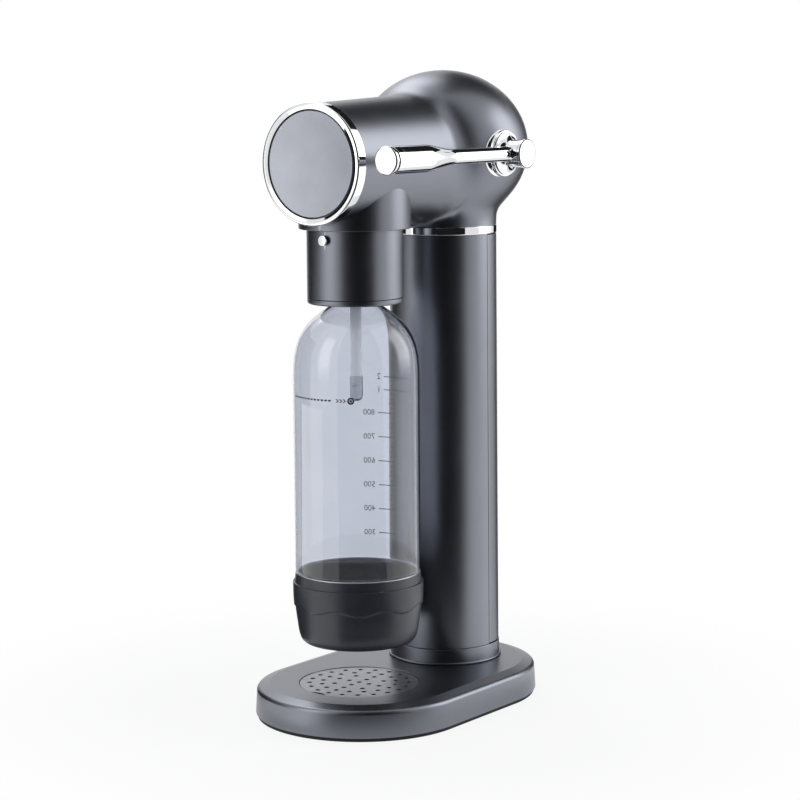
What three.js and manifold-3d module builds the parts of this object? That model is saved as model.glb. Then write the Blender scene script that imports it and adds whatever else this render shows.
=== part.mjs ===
// Sparkling water maker: a lever-operated stand that holds a gas cylinder in its column and a
// screw-on bottle under its barrel. Millimetres, Z up. The origin is on the table under the middle
// of the base. X points to the lever side and Y to the back.

import Module from 'manifold-3d';
import * as THREE from 'three';
import { mergeVertices, toCreasedNormals } from 'three/addons/utils/BufferGeometryUtils.js';

const wasm = await Module();
wasm.setup();

// Layout
const axisSpacing = 104;
const baseFrontReach = 71.2;
const baseBackReach = 59.4;
const baseHalfWidth = 76.3;
const plateauHeight = 23.7;
const collarHeight = 11.6;
const shellHeight = 299.7;
const trimHeight = 5.8;
const bulbRadius = 61.4;
const bulbHalfHeight = 55.2;
const barrelDrop = 6.9;
const barrelFrontRadius = 40.7;
const barrelRearRadius = 45.4;
const barrelOverhang = 1.2;
const creaseReach = 7;
const bezelDepth = 8.8;
const leverRise = 3.8;
const leverSetForward = 10;
const leverLength = 150.5;
const leverTurnDegrees = 50;
const sleeveRadius = 33.3;
const sleeveReach = 51.5;
const saddleStep = 5.5;
const saddleDrop = 45.4;
const bottleRadius = 44;
const bottleHeight = 264.7;
const bottleHang = 24.5;
const bottleWall = 1.2;
const gasCylinderRadius = 30;

// Fits
const runningGap = 0.3;
const seamGap = 0.4;
const bodyGap = 0.6;
const overrun = 5;

// Facets
const broadSteps = 28;
const innerSteps = 16;
const middleSteps = 14;
const smallSteps = 10;
const tinySteps = 6;
const baseArcSteps = 12;
const roundSteps = 2;
const domeShare = 0.4;
const creaseRows = 5;
const neckRows = 8;
const backRows = 4;
const searchSteps = 26;
const flareSteps = 3;
const taperSteps = 4;
const bottleDomeSteps = 3;
const shoulderSteps = 5;
const innerShoulderSteps = 3;
const wireSides = 5;
const coilSteps = 7;
const hexSides = 6;
const creaseDegrees = 35;

// Levels and axes that several pieces share
const baseLength = baseFrontReach + axisSpacing + baseBackReach;
const bottleAxisY = baseFrontReach - baseLength / 2;
const columnAxisY = bottleAxisY + axisSpacing;
const collarTopZ = plateauHeight + collarHeight;
const shellTopZ = collarTopZ + shellHeight;
const neckBottomZ = shellTopZ + trimHeight;
const bulbCentreZ = neckBottomZ + bulbHalfHeight;
const barrelAxisZ = bulbCentreZ - barrelDrop;
const leverAxisZ = barrelAxisZ + leverRise;
const leverAxisY = columnAxisY - leverSetForward;
const saddleBottomZ = barrelAxisZ - saddleDrop;
const saddleRadius = sleeveRadius + saddleStep;
const sleeveBottomZ = saddleBottomZ - sleeveReach;
const mouthTopZ = saddleBottomZ - bottleHang;
const bottleBottomZ = mouthTopZ - bottleHeight;
const barrelFrontY = bottleAxisY - saddleRadius - barrelOverhang;
const bezelFrontY = barrelFrontY - bezelDepth;

// A closed solid from any three.js geometry whose shared vertices can be merged.
function solidOf(geometry) {
  const bare = new THREE.BufferGeometry();
  bare.setAttribute('position', geometry.getAttribute('position').clone());
  if (geometry.index) bare.setIndex(geometry.index.clone());
  const merged = mergeVertices(bare);
  const corners = merged.index.array;
  const kept = [];
  for (let i = 0; i < corners.length; i += 3) {
    const [a, b, c] = corners.slice(i, i + 3);
    if (a !== b && b !== c && c !== a) kept.push(a, b, c);
  }
  const mesh = new wasm.Mesh({
    numProp: 3,
    vertProperties: Float32Array.from(merged.getAttribute('position').array),
    triVerts: Uint32Array.from(kept),
  });
  return new wasm.Manifold(mesh);
}

// An arc's points, with its angles in degrees.
function arc(centreX, centreY, radiusX, radiusY, fromDegrees, toDegrees, steps) {
  const points = [];
  for (let i = 0; i <= steps; i += 1) {
    const angle = THREE.MathUtils.degToRad(fromDegrees + ((toDegrees - fromDegrees) * i) / steps);
    points.push([centreX + radiusX * Math.cos(angle), centreY + radiusY * Math.sin(angle)]);
  }
  return points;
}

// A round outline with a chosen number of sides, for extruding.
function roundOutline(radius, sides, x = 0, y = 0) {
  const corners = arc(x, y, radius, radius, 0, 360, sides).slice(1);
  return new THREE.Shape(corners.map(([u, v]) => new THREE.Vector2(u, v)));
}

// A turned piece. The profile holds [radius, distance along the axis] pairs.
function turned(profile, { axis = 'z', steps = middleSteps, at = [0, 0, 0] } = {}) {
  const points = profile.map(([radius, along]) => new THREE.Vector2(Math.max(radius, 0), along));
  if (THREE.ShapeUtils.isClockWise(points)) points.reverse();
  const onAxis = points[0].x === 0 && points[points.length - 1].x === 0;
  if (!onAxis) points.push(points[0].clone());
  const geometry = new THREE.LatheGeometry(points, steps);
  if (axis === 'z') geometry.rotateX(Math.PI / 2);
  if (axis === 'x') geometry.rotateZ(-Math.PI / 2);
  geometry.translate(...at);
  return solidOf(geometry);
}

// A plain rod, and a plain ring.
function rod(radius, from, to, options) {
  return turned([[0, from], [radius, from], [radius, to], [0, to]], options);
}

function ring(innerRadius, outerRadius, from, to, options) {
  const profile = [[innerRadius, from], [outerRadius, from], [outerRadius, to], [innerRadius, to]];
  return turned(profile, options);
}

function boxBetween(low, high) {
  const size = high.map((value, i) => value - low[i]);
  const geometry = new THREE.BoxGeometry(...size);
  geometry.translate(...low.map((value, i) => value + size[i] / 2));
  return solidOf(geometry);
}

// A skin over rings that all have the same number of points, closed by a fan at each end.
function loft(rings) {
  const count = rings[0].length;
  const positions = rings.flat().flatMap((point) => [point.x, point.y, point.z]);
  const faces = [];
  for (let level = 0; level < rings.length - 1; level += 1) {
    for (let i = 0; i < count; i += 1) {
      const a = level * count + i;
      const b = level * count + ((i + 1) % count);
      faces.push(a, b, b + count, a, b + count, a + count);
    }
  }
  const top = (rings.length - 1) * count;
  for (let i = 1; i < count - 1; i += 1) {
    faces.push(0, i + 1, i);
    faces.push(top, top + i, top + i + 1);
  }
  const geometry = new THREE.BufferGeometry();
  geometry.setAttribute('position', new THREE.Float32BufferAttribute(positions, 3));
  geometry.setIndex(faces);
  return solidOf(geometry);
}

// A coil spring: one round wire along a helix, as a closed tube.
function coil({ radius, wireRadius, from, to, turns, axis = 'z', at = [0, 0, 0] }) {
  class Helix extends THREE.Curve {
    getPoint(share, target = new THREE.Vector3()) {
      const angle = share * turns * Math.PI * 2;
      const height = from + wireRadius + share * (to - from - 2 * wireRadius);
      return target.set(radius * Math.cos(angle), radius * Math.sin(angle), height);
    }
  }
  const geometry = new THREE.ExtrudeGeometry(roundOutline(wireRadius, wireSides), {
    steps: Math.round(coilSteps * turns),
    extrudePath: new Helix(),
  });
  if (axis === 'y') geometry.rotateX(-Math.PI / 2);
  geometry.translate(...at);
  return solidOf(geometry);
}

// The base: a long round-ended housing with a drip cup in front and the column's seat behind.
const footHeight = 2.6;
const footInset = 1.3;
const footWidth = 8;
const baseWall = 2.5;
const baseDraft = 0.9;
const baseEdgeRadius = 3.4;
const baseBottomRound = 0.5;
const bevelWidth = 6.9;
const bevelDegrees = 16.5;
const plateThickness = 2.2;
const wellRadius = 42.4;
const wellLedge = 3.2;
const wellDepth = 11.5;
const wellWall = 2.2;
const grilleThickness = 1.2;
const grilleDrop = 0.4;
const holeRadius = 1.42;
const holeRingPitch = 8.75;
const holeRingCounts = [4, 8, 16, 20];
const notchRadius = 11;
const notchBite = 3.2;
const notchDegrees = 264;
const columnHoleRadius = 36.4;
const screwInset = 16;
const screwFrontDegrees = 33;
const screwBackDegrees = 25;
const bossRadius = 4.2;
const screwRadius = 1.6;
const screwHeadRadius = 3.3;
const screwHeadHeight = 1.8;
const screwLength = 9;
const plateTopZ = footHeight + plateThickness;
const grilleLowZ = plateauHeight - grilleDrop - grilleThickness;
const frontArcY = baseHalfWidth - baseLength / 2;
const backArcY = -frontArcY;

function baseRing(inset, z) {
  const radius = baseHalfWidth - inset;
  const corners = [];
  for (const [centreY, start] of [[backArcY, 0], [frontArcY, 180]]) {
    for (const [x, y] of arc(0, centreY, radius, radius, start, start + 180, baseArcSteps)) {
      corners.push(new THREE.Vector3(x, y, z));
    }
  }
  return corners;
}

function baseScrewPlaces() {
  const reach = baseHalfWidth - screwInset;
  const places = [];
  const rows = [[frontArcY, screwFrontDegrees, -1], [backArcY, screwBackDegrees, 1]];
  for (const [centreY, degrees, side] of rows) {
    const angle = THREE.MathUtils.degToRad(degrees);
    const y = centreY + side * reach * Math.sin(angle);
    places.push([-reach * Math.cos(angle), y], [reach * Math.cos(angle), y]);
  }
  return places;
}

function baseHousing() {
  const slope = THREE.MathUtils.degToRad(bevelDegrees);
  const sideTopZ = plateauHeight - bevelWidth * Math.tan(slope) - baseEdgeRadius * Math.cos(slope);
  const roundCentre = baseDraft + baseEdgeRadius;
  const edge = arc(
    roundCentre, sideTopZ, -baseEdgeRadius, baseEdgeRadius, 0, 90 - bevelDegrees, roundSteps,
  );
  const plateauInset = roundCentre - baseEdgeRadius * Math.sin(slope) + bevelWidth;
  const outer = loft([
    baseRing(baseBottomRound, footHeight),
    baseRing(0, footHeight + baseBottomRound),
    ...edge.map(([inset, z]) => baseRing(inset, z)),
    baseRing(plateauInset, plateauHeight),
  ]);
  const hollow = loft([
    baseRing(baseWall, footHeight - overrun),
    baseRing(baseWall + baseDraft, sideTopZ - baseWall / 2),
    baseRing(baseWall + plateauInset, plateauHeight - baseWall),
  ]);
  let room = hollow;
  for (const [x, y] of baseScrewPlaces()) {
    const boss = rod(bossRadius, plateTopZ, plateauHeight, { at: [x, y, 0], steps: smallSteps });
    room = room.subtract(boss);
  }
  let housing = outer.subtract(room);
  for (const [radius, y] of [[wellRadius, bottleAxisY], [columnHoleRadius, columnAxisY]]) {
    const hole = rod(radius, footHeight, plateauHeight + overrun, { at: [0, y, 0], steps: broadSteps });
    housing = housing.subtract(hole);
  }
  const pilotTopZ = plateTopZ + screwLength + overrun / 2;
  for (const [x, y] of baseScrewPlaces()) {
    const pilot = rod(screwRadius + runningGap, footHeight, pilotTopZ, {
      at: [x, y, 0], steps: tinySteps,
    });
    housing = housing.subtract(pilot);
  }
  return housing;
}

function rubberFoot() {
  const outer = loft([baseRing(footInset, 0), baseRing(footInset, footHeight)]);
  const inset = footInset + footWidth;
  return outer.subtract(loft([baseRing(inset, -overrun), baseRing(inset, footHeight + overrun)]));
}

function basePlate() {
  const inset = baseWall + seamGap;
  let plate = loft([baseRing(inset, footHeight), baseRing(inset, plateTopZ)]);
  for (const [x, y] of baseScrewPlaces()) {
    const hole = rod(screwRadius + runningGap, 0, plateTopZ + overrun, {
      at: [x, y, 0], steps: tinySteps,
    });
    plate = plate.subtract(hole);
  }
  return plate;
}

function baseScrew([x, y]) {
  const headZ = footHeight - screwHeadHeight;
  const profile = [
    [0, headZ], [screwHeadRadius, headZ], [screwHeadRadius, footHeight],
    [screwRadius, footHeight], [screwRadius, plateTopZ + screwLength], [0, plateTopZ + screwLength],
  ];
  return turned(profile, { at: [x, y, 0], steps: tinySteps });
}

// The round that the finger notch takes out of the drip plate's edge, in the bottle's own frame.
function notchRod(from, to) {
  const angle = THREE.MathUtils.degToRad(notchDegrees);
  const reach = wellRadius - seamGap + notchRadius - notchBite;
  return rod(notchRadius, from, to, {
    at: [reach * Math.cos(angle), reach * Math.sin(angle), 0], steps: middleSteps,
  });
}

// The cup under the drip plate. It stands on the base plate, and its shoulder meets the housing's top.
function dripCup() {
  const floorZ = plateauHeight - wellDepth;
  const outside = wellRadius + wellWall;
  const inside = wellRadius - wellLedge;
  const spigot = wellRadius - runningGap;
  const cup = turned([
    [0, floorZ - wellWall], [wellRadius, floorZ - wellWall], [wellRadius, plateTopZ],
    [outside, plateTopZ], [outside, plateauHeight - baseWall], [spigot, plateauHeight - baseWall],
    [spigot, grilleLowZ], [inside, grilleLowZ], [inside, floorZ], [0, floorZ],
  ], { steps: broadSteps });
  const fingerRoom = rod(spigot, floorZ, plateauHeight, { steps: broadSteps })
    .intersect(notchRod(floorZ, plateauHeight));
  return cup.subtract(fingerRoom);
}

// The perforated plate over the drip cup: drilled holes in rings round a middle one.
function dripGrille() {
  const outline = roundOutline(wellRadius - seamGap, broadSteps);
  outline.holes.push(roundOutline(holeRadius, tinySteps));
  holeRingCounts.forEach((count, i) => {
    const ringRadius = holeRingPitch * (i + 1);
    for (const [x, y] of arc(0, 0, ringRadius, ringRadius, 0, 360, count).slice(1)) {
      outline.holes.push(roundOutline(holeRadius, tinySteps, x, y));
    }
  });
  const geometry = new THREE.ExtrudeGeometry(outline, {
    depth: grilleThickness,
    bevelEnabled: false,
  });
  geometry.translate(0, 0, grilleLowZ);
  return solidOf(geometry).subtract(notchRod(0, plateauHeight + overrun));
}

// The column: a front shell and a lift-off rear cover round a steel frame and the gas cylinder.
const collarBottomRadius = 41.4;
const collarTopRadius = 40;
const collarLip = 0.9;
const lipStartDegrees = -60;
const shellBottomRadius = 39.6;
const shellTopRadius = 38.5;
const shellWall = 2.2;
const tongueThickness = 1.5;
const tongueReach = 5;
const coverBottomGap = 1.5;
const trimRadius = 38.9;
const trimWall = 3.2;
const trimRound = 0.7;
const frameRadius = 34;
const frameThickness = 2;
const cradleFloor = 3.9;
const cradleRimHeight = 30;
const frameRise = 8.5;
const frameTopZ = neckBottomZ + frameRise;

function shellRadiusAt(z) {
  const share = (z - collarTopZ) / shellHeight;
  return shellBottomRadius + (shellTopRadius - shellBottomRadius) * share;
}

// A tapered ring that follows the column's outside, between two depths under its surface.
function columnRing(innerDepth, outerDepth, fromZ, toZ) {
  return turned([
    [shellRadiusAt(fromZ) - innerDepth, fromZ], [shellRadiusAt(fromZ) - outerDepth, fromZ],
    [shellRadiusAt(toZ) - outerDepth, toZ], [shellRadiusAt(toZ) - innerDepth, toZ],
  ], { steps: broadSteps });
}

// Everything of a solid between two planes across Y.
function between(solid, lowY, highY) {
  const reach = baseHalfWidth;
  return solid.intersect(boxBetween([-reach, lowY, -reach], [reach, highY, bulbCentreZ + reach]));
}

function columnCollar() {
  const lipZ = plateauHeight + collarLip;
  return turned([
    [columnHoleRadius, plateauHeight], [collarBottomRadius - collarLip, plateauHeight],
    ...arc(collarBottomRadius - collarLip, lipZ, collarLip, collarLip, lipStartDegrees, 0, roundSteps),
    [collarTopRadius, collarTopZ], [columnHoleRadius, collarTopZ],
  ], { steps: broadSteps });
}

function columnFrontShell() {
  const shell = between(columnRing(shellWall, 0, collarTopZ, shellTopZ), -baseHalfWidth, 0);
  const tongueDepth = shellWall + runningGap;
  const innerDepth = tongueDepth + tongueThickness;
  const low = collarTopZ + coverBottomGap;
  const high = shellTopZ - bodyGap;
  const tongue = between(columnRing(innerDepth, tongueDepth, low, high), -tongueReach, tongueReach);
  const root = between(columnRing(innerDepth, shellWall / 2, low, high), -tongueReach, -runningGap);
  return shell.add(tongue).add(root);
}

function rearCover() {
  const cover = columnRing(shellWall, 0, collarTopZ + coverBottomGap, shellTopZ - bodyGap);
  return between(cover, runningGap, baseHalfWidth);
}

function columnFrame() {
  const sheet = ring(frameRadius - frameThickness, frameRadius, plateTopZ, frameTopZ, {
    steps: broadSteps,
  });
  return between(sheet, -baseHalfWidth, 0);
}

function cylinderCradle() {
  const outerRadius = frameRadius - frameThickness - runningGap;
  const bore = gasCylinderRadius + bodyGap;
  const floorZ = plateTopZ + cradleFloor;
  const profile = [
    [0, plateTopZ], [outerRadius, plateTopZ], [outerRadius, floorZ + cradleRimHeight],
    [bore, floorZ + cradleRimHeight], [bore, floorZ], [0, floorZ],
  ];
  return turned(profile, { steps: broadSteps });
}

function trimRing() {
  return turned([
    [trimRadius - trimWall, shellTopZ], [trimRadius - trimRound, shellTopZ],
    [trimRadius, shellTopZ + trimRound], [trimRadius, neckBottomZ - trimRound],
    [trimRadius - trimRound, neckBottomZ], [trimRadius - trimWall, neckBottomZ],
  ], { steps: broadSteps });
}

// The gas cylinder and its screw valve. The valve's thread and pin meet the valve body above.
const gasWall = 3;
const gasFootRadius = 24;
const gasFootRise = 4.5;
const gasNeckRadius = 12.5;
const gasNeckBore = 8.5;
const gasShoulderHeight = 30;
const gasNeckHeight = 7;
const gasShoulderSteps = 3;
const hexRadius = 14;
const hexHeight = 8;
const threadRadius = 10.5;
const threadLength = 16.6;
const pinRadius = 1.8;
const pinProud = 3.2;
const pinLength = 10;
const plungerTravel = 3;
const hexTopZ = frameTopZ - seamGap;
const threadTopZ = hexTopZ + threadLength;
const pinTopZ = threadTopZ + pinProud;
const gasNeckTopZ = hexTopZ - hexHeight - runningGap;
const gasBottomZ = plateTopZ + cradleFloor + threadLength + bodyGap;

function gasCylinder() {
  const shoulderZ = gasNeckTopZ - gasNeckHeight - gasShoulderHeight;
  const shoulderReach = gasCylinderRadius - gasNeckRadius;
  const outer = [
    [0, gasBottomZ + gasFootRise], [gasFootRadius - gasFootRise, gasBottomZ + gasFootRise / 2],
    [gasFootRadius, gasBottomZ], [gasFootRadius + gasWall / 2, gasBottomZ],
    [gasCylinderRadius, gasBottomZ + gasFootRise],
    ...arc(gasNeckRadius, shoulderZ, shoulderReach, gasShoulderHeight, 0, 90, gasShoulderSteps),
    [gasNeckRadius, gasNeckTopZ], [gasNeckBore, gasNeckTopZ],
  ];
  const innerReach = gasCylinderRadius - gasWall - gasNeckBore;
  const inner = [
    ...arc(gasNeckBore, shoulderZ, innerReach, gasShoulderHeight - gasWall, 90, 0, gasShoulderSteps - 1),
    [gasCylinderRadius - gasWall, gasBottomZ + 2 * gasFootRise],
    [gasFootRadius - gasFootRise, gasBottomZ + gasFootRise / 2 + gasWall],
    [0, gasBottomZ + gasFootRise + gasWall],
  ];
  return turned([...outer, ...inner], { steps: middleSteps });
}

function cylinderValve() {
  const spigotRadius = gasNeckBore - runningGap;
  const body = turned([
    [0, gasNeckTopZ - gasNeckHeight], [spigotRadius, gasNeckTopZ - gasNeckHeight],
    [spigotRadius, gasNeckTopZ + runningGap], [threadRadius, gasNeckTopZ + runningGap],
    [threadRadius, threadTopZ], [0, threadTopZ],
  ], { steps: middleSteps });
  const hex = rod(hexRadius, gasNeckTopZ + runningGap, hexTopZ, { steps: hexSides });
  const boreEndZ = pinTopZ - pinLength - plungerTravel - runningGap;
  const bore = rod(pinRadius + runningGap, boreEndZ, threadTopZ + overrun, { steps: tinySteps });
  return body.add(hex).subtract(bore);
}

function cylinderPin() {
  return rod(pinRadius, pinTopZ - pinLength, pinTopZ, { steps: tinySteps });
}

// The valve body on top of the frame takes the cylinder's thread and guides the plunger.
const valveFlangeRadius = 34.2;
const valveFlangeHeight = 4;
const valveBodyRadius = 22;
const valveTopRise = 4.5;
const gasketHeight = 1.4;
const gasketBore = 3;
const gasketRadius = 8;
const plungerRadius = 5.9;
const plungerTipRadius = 2.4;
const spoutRadius = 5;
const spoutLength = 6;
const pipeRadius = 2.4;
const pipeSocket = 5;
const pipeSteps = 14;
const camBaseRadius = 8;
const camHalfWidth = 5;
const followerThickness = 2.4;
const followerHalfWidth = 6.5;
const followerBack = 8;
const followerFront = 8;
const springRadius = 8.2;
const springWire = 0.6;
const springTurns = 3.5;
const chamberTopZ = threadTopZ + runningGap + gasketHeight + runningGap;
const valveTopZ = chamberTopZ + valveTopRise + gasketHeight;
const pipeZ = chamberTopZ - spoutRadius / 2;
const followerTopZ = leverAxisZ - camBaseRadius - runningGap;
const followerBottomZ = followerTopZ - followerThickness;

function valveBody() {
  const socketRadius = threadRadius + runningGap;
  let body = turned([
    [socketRadius, frameTopZ], [valveFlangeRadius, frameTopZ],
    [valveFlangeRadius, frameTopZ + valveFlangeHeight],
    [valveBodyRadius, frameTopZ + valveFlangeHeight + valveFlangeHeight / 2],
    [valveBodyRadius, valveTopZ], [plungerRadius + runningGap, valveTopZ],
    [plungerRadius + runningGap, chamberTopZ], [socketRadius, chamberTopZ],
  ], { steps: middleSteps });
  const spoutY = -valveBodyRadius - spoutLength;
  const spout = rod(spoutRadius, spoutY, -socketRadius - gasWall, {
    axis: 'y', at: [0, 0, pipeZ], steps: smallSteps,
  });
  body = body.add(spout);
  const bore = rod(pipeRadius + runningGap, spoutY - overrun, spoutY + pipeSocket, {
    axis: 'y', at: [0, 0, pipeZ], steps: smallSteps,
  });
  body = body.subtract(bore);
  const pilotDepth = bracketScrewLength + runningGap;
  for (const side of [-1, 1]) {
    const pilot = rod(bracketScrewRadius + runningGap, valveTopZ - pilotDepth, valveTopZ + overrun, {
      at: [side * bracketScrewX, bracketScrewY, 0], steps: tinySteps,
    });
    body = body.subtract(pilot);
  }
  return body;
}

function cylinderGasket() {
  const low = threadTopZ + runningGap;
  return ring(gasketBore, gasketRadius, low, low + gasketHeight, { steps: smallSteps });
}

function valvePlunger() {
  const tipTopZ = chamberTopZ + plungerTravel + runningGap;
  const stem = turned([
    [0, pinTopZ + runningGap], [plungerTipRadius, pinTopZ + runningGap], [plungerTipRadius, tipTopZ],
    [plungerRadius, tipTopZ], [plungerRadius, followerBottomZ + followerThickness / 2],
    [0, followerBottomZ + followerThickness / 2],
  ], { steps: middleSteps });
  const bar = boxBetween(
    [-followerHalfWidth, -leverSetForward - followerFront, followerBottomZ],
    [followerHalfWidth, followerBack, followerTopZ],
  );
  return stem.add(bar);
}

function plungerSpring() {
  return coil({
    radius: springRadius, wireRadius: springWire, from: valveTopZ, to: followerBottomZ, turns: springTurns,
  });
}

// A sheet bracket on the valve body carries the lever's spindle over the plunger.
const spindleRadius = 5;
const spindleInnerReach = 16;
const cheekInside = 11;
const cheekThickness = 3;
const cheekHalfDepth = 12;
const bracketBase = 2.2;
const bracketBack = 17;
const bracketScrewX = 9.8;
const bracketScrewY = 12.6;
const bracketScrewRadius = 1.5;
const bracketScrewLength = 5;
const bracketHeadRadius = 2.8;
const bracketHeadHeight = 1.8;

function spindleBracket() {
  const outside = cheekInside + cheekThickness;
  const front = -leverSetForward - cheekHalfDepth;
  let bracket = boxBetween(
    [-outside, front, valveTopZ], [outside, bracketBack, valveTopZ + bracketBase],
  );
  for (const side of [-1, 1]) {
    const edges = [side * cheekInside, side * outside].sort((a, b) => a - b);
    bracket = bracket.add(boxBetween(
      [edges[0], front, valveTopZ], [edges[1], front + 2 * cheekHalfDepth, leverAxisZ],
    ));
    bracket = bracket.add(rod(cheekHalfDepth, edges[0], edges[1], {
      axis: 'x', at: [0, -leverSetForward, leverAxisZ], steps: middleSteps,
    }));
    const hole = rod(bracketScrewRadius + runningGap, valveTopZ - overrun, valveTopZ + overrun, {
      at: [side * bracketScrewX, bracketScrewY, 0], steps: tinySteps,
    });
    bracket = bracket.subtract(hole);
  }
  const springRoom = springRadius + springWire + bodyGap;
  const springHole = rod(springRoom, valveTopZ - overrun, valveTopZ + overrun, { steps: smallSteps });
  const spindleHole = rod(spindleRadius + runningGap, -outside - overrun, outside + overrun, {
    axis: 'x', at: [0, -leverSetForward, leverAxisZ], steps: smallSteps,
  });
  return bracket.subtract(springHole).subtract(spindleHole);
}

function bracketScrew(side) {
  const seatZ = valveTopZ + bracketBase;
  const profile = [
    [0, valveTopZ - bracketScrewLength], [bracketScrewRadius, valveTopZ - bracketScrewLength],
    [bracketScrewRadius, seatZ], [bracketHeadRadius, seatZ],
    [bracketHeadRadius, seatZ + bracketHeadHeight], [0, seatZ + bracketHeadHeight],
  ];
  return turned(profile, { at: [side * bracketScrewX, bracketScrewY, 0], steps: tinySteps });
}

// The head: a hollow bulb over the column that flows into the barrel over the bottle.
const headWall = 3;
const neckRadius = 38.5;
const flankDegrees = 38;
const neckFillet = 14;
const barrelTailReach = 30;
const bushRadius = 8.7;

// The bulb's outline: most of an ellipse, a straight flank, and a fillet into the neck.
function bulbProfile(inset, bottomZ, domeSteps) {
  const radiusX = bulbRadius - inset;
  const radiusZ = bulbHalfHeight - inset;
  const dome = arc(0, bulbCentreZ, radiusX, radiusZ, 90, -flankDegrees, domeSteps);
  const flank = THREE.MathUtils.degToRad(flankDegrees);
  const lean = Math.atan2(radiusX * Math.sin(flank), radiusZ * Math.cos(flank));
  const [flankRadius, flankZ] = dome[dome.length - 1];
  const neck = neckRadius - inset;
  const filletStart = neck + neckFillet * (1 - Math.cos(lean));
  const filletStartZ = flankZ - (flankRadius - filletStart) / Math.tan(lean);
  const filletEndZ = filletStartZ - neckFillet * Math.sin(lean);
  const degrees = THREE.MathUtils.radToDeg(lean);
  const fillet = arc(neck + neckFillet, filletEndZ, -neckFillet, neckFillet, degrees, 0, roundSteps);
  return [...dome.map(([r, z], i) => [i === 0 ? 0 : r, z]), ...fillet, [neck, bottomZ], [0, bottomZ]];
}

function bulb(inset, bottomZ, steps = broadSteps) {
  const profile = bulbProfile(inset, bottomZ, Math.round(steps * domeShare));
  return turned(profile, { at: [0, columnAxisY, 0], steps });
}

function barrelRadiusAt(y) {
  const growth = (barrelRearRadius - barrelFrontRadius) / axisSpacing;
  return barrelFrontRadius + growth * (y - barrelFrontY);
}

function barrel(inset, frontY, tailY) {
  const frontRadius = barrelRadiusAt(frontY) - inset;
  const tailRadius = barrelRadiusAt(tailY) - inset;
  return turned([[0, frontY], [frontRadius, frontY], [tailRadius, tailY], [0, tailY]], {
    axis: 'y', at: [0, 0, barrelAxisZ], steps: broadSteps,
  });
}

// The distance from a place to an outline that runs from the top down to the axis, less than zero inside.
function distanceTo(outline, r, z) {
  let best = Infinity;
  let inside = false;
  for (let i = 1; i < outline.length; i += 1) {
    const [r0, z0] = outline[i - 1];
    const [r1, z1] = outline[i];
    const alongR = r1 - r0;
    const alongZ = z1 - z0;
    const share = ((r - r0) * alongR + (z - z0) * alongZ) / (alongR ** 2 + alongZ ** 2);
    const near = THREE.MathUtils.clamp(share, 0, 1);
    best = Math.min(best, Math.hypot(r - r0 - near * alongR, z - z0 - near * alongZ));
    if (z0 > z !== z1 > z && r < r0 + ((z - z0) * alongR) / alongZ) inside = !inside;
  }
  return inside ? -best : best;
}

// How far a place lies outside the head: the bulb and the barrel, run together by a soft crease.
function headDistance(outline, x, y, z) {
  const toBulb = distanceTo(outline, Math.hypot(x, y - columnAxisY), z);
  const toCone = Math.hypot(x, z - barrelAxisZ) - barrelRadiusAt(y);
  const toBarrel = Math.max(toCone, y - columnAxisY + barrelTailReach);
  const shared = Math.max(creaseReach - Math.abs(toBulb - toBarrel), 0);
  return Math.min(toBulb, toBarrel) - shared ** 2 / (4 * creaseReach);
}

// The head's outside: a loft of sections across the barrel's axis, from its front to the bulb's back.
// The sections lie close together at the crease, then on the corners of the neck's round edge.
function headSkin() {
  const outline = bulbProfile(0, neckBottomZ - neckRadius, broadSteps);
  const creaseY = columnAxisY - Math.sqrt(bulbRadius ** 2 - barrelRearRadius ** 2);
  const places = [barrelFrontY];
  for (let i = 0; i <= creaseRows; i += 1) {
    places.push(creaseY + THREE.MathUtils.lerp(-2, 2, i / creaseRows) * creaseReach);
  }
  const rounds = [
    [neckRadius, places[creaseRows + 1], neckRows],
    [bulbRadius, columnAxisY + neckRadius, backRows],
  ];
  for (const [radius, startY, rows] of rounds) {
    const startAngle = Math.acos(Math.min((columnAxisY - startY) / radius, 1));
    for (let i = 1; i <= rows; i += 1) {
      const angle = THREE.MathUtils.lerp(startAngle, Math.PI, i / rows);
      places.push(columnAxisY - radius * Math.cos(angle));
    }
  }
  const backY = columnAxisY + bulbRadius;
  const rings = places.map((y) => {
    const rise = THREE.MathUtils.smoothstep(y, creaseY, backY) * barrelDrop;
    return arc(0, 0, 1, 1, 0, 360, broadSteps).slice(1).map(([up, side]) => {
      let low = 0;
      let high = 2 * bulbRadius;
      for (let i = 0; i < searchSteps; i += 1) {
        const reach = (low + high) / 2;
        const outside = headDistance(outline, side * reach, y, barrelAxisZ + rise + up * reach) > 0;
        if (outside) high = reach;
        else low = reach;
      }
      return new THREE.Vector3(side * low, y, barrelAxisZ + rise + up * low);
    });
  });
  const above = boxBetween(
    [-bulbRadius - overrun, barrelFrontY - overrun, neckBottomZ],
    [bulbRadius + overrun, backY + overrun, bulbCentreZ + bulbHalfHeight + overrun],
  );
  return loft(rings).intersect(above);
}

function headHousing() {
  const tailY = columnAxisY - barrelTailReach;
  const outside = headSkin();
  const room = bulb(headWall, neckBottomZ - overrun, innerSteps);
  const inside = room.add(barrel(headWall, barrelFrontY - overrun, tailY));
  const sleeveHole = rod(sleeveRadius + runningGap, sleeveBottomZ, barrelAxisZ, {
    at: [0, bottleAxisY, 0], steps: broadSteps,
  });
  const spindleHole = rod(bushRadius + runningGap, 0, bulbRadius + overrun, {
    axis: 'x', at: [0, leverAxisY, leverAxisZ], steps: middleSteps,
  });
  return outside.subtract(inside).subtract(sleeveHole).subtract(spindleHole);
}

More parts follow.
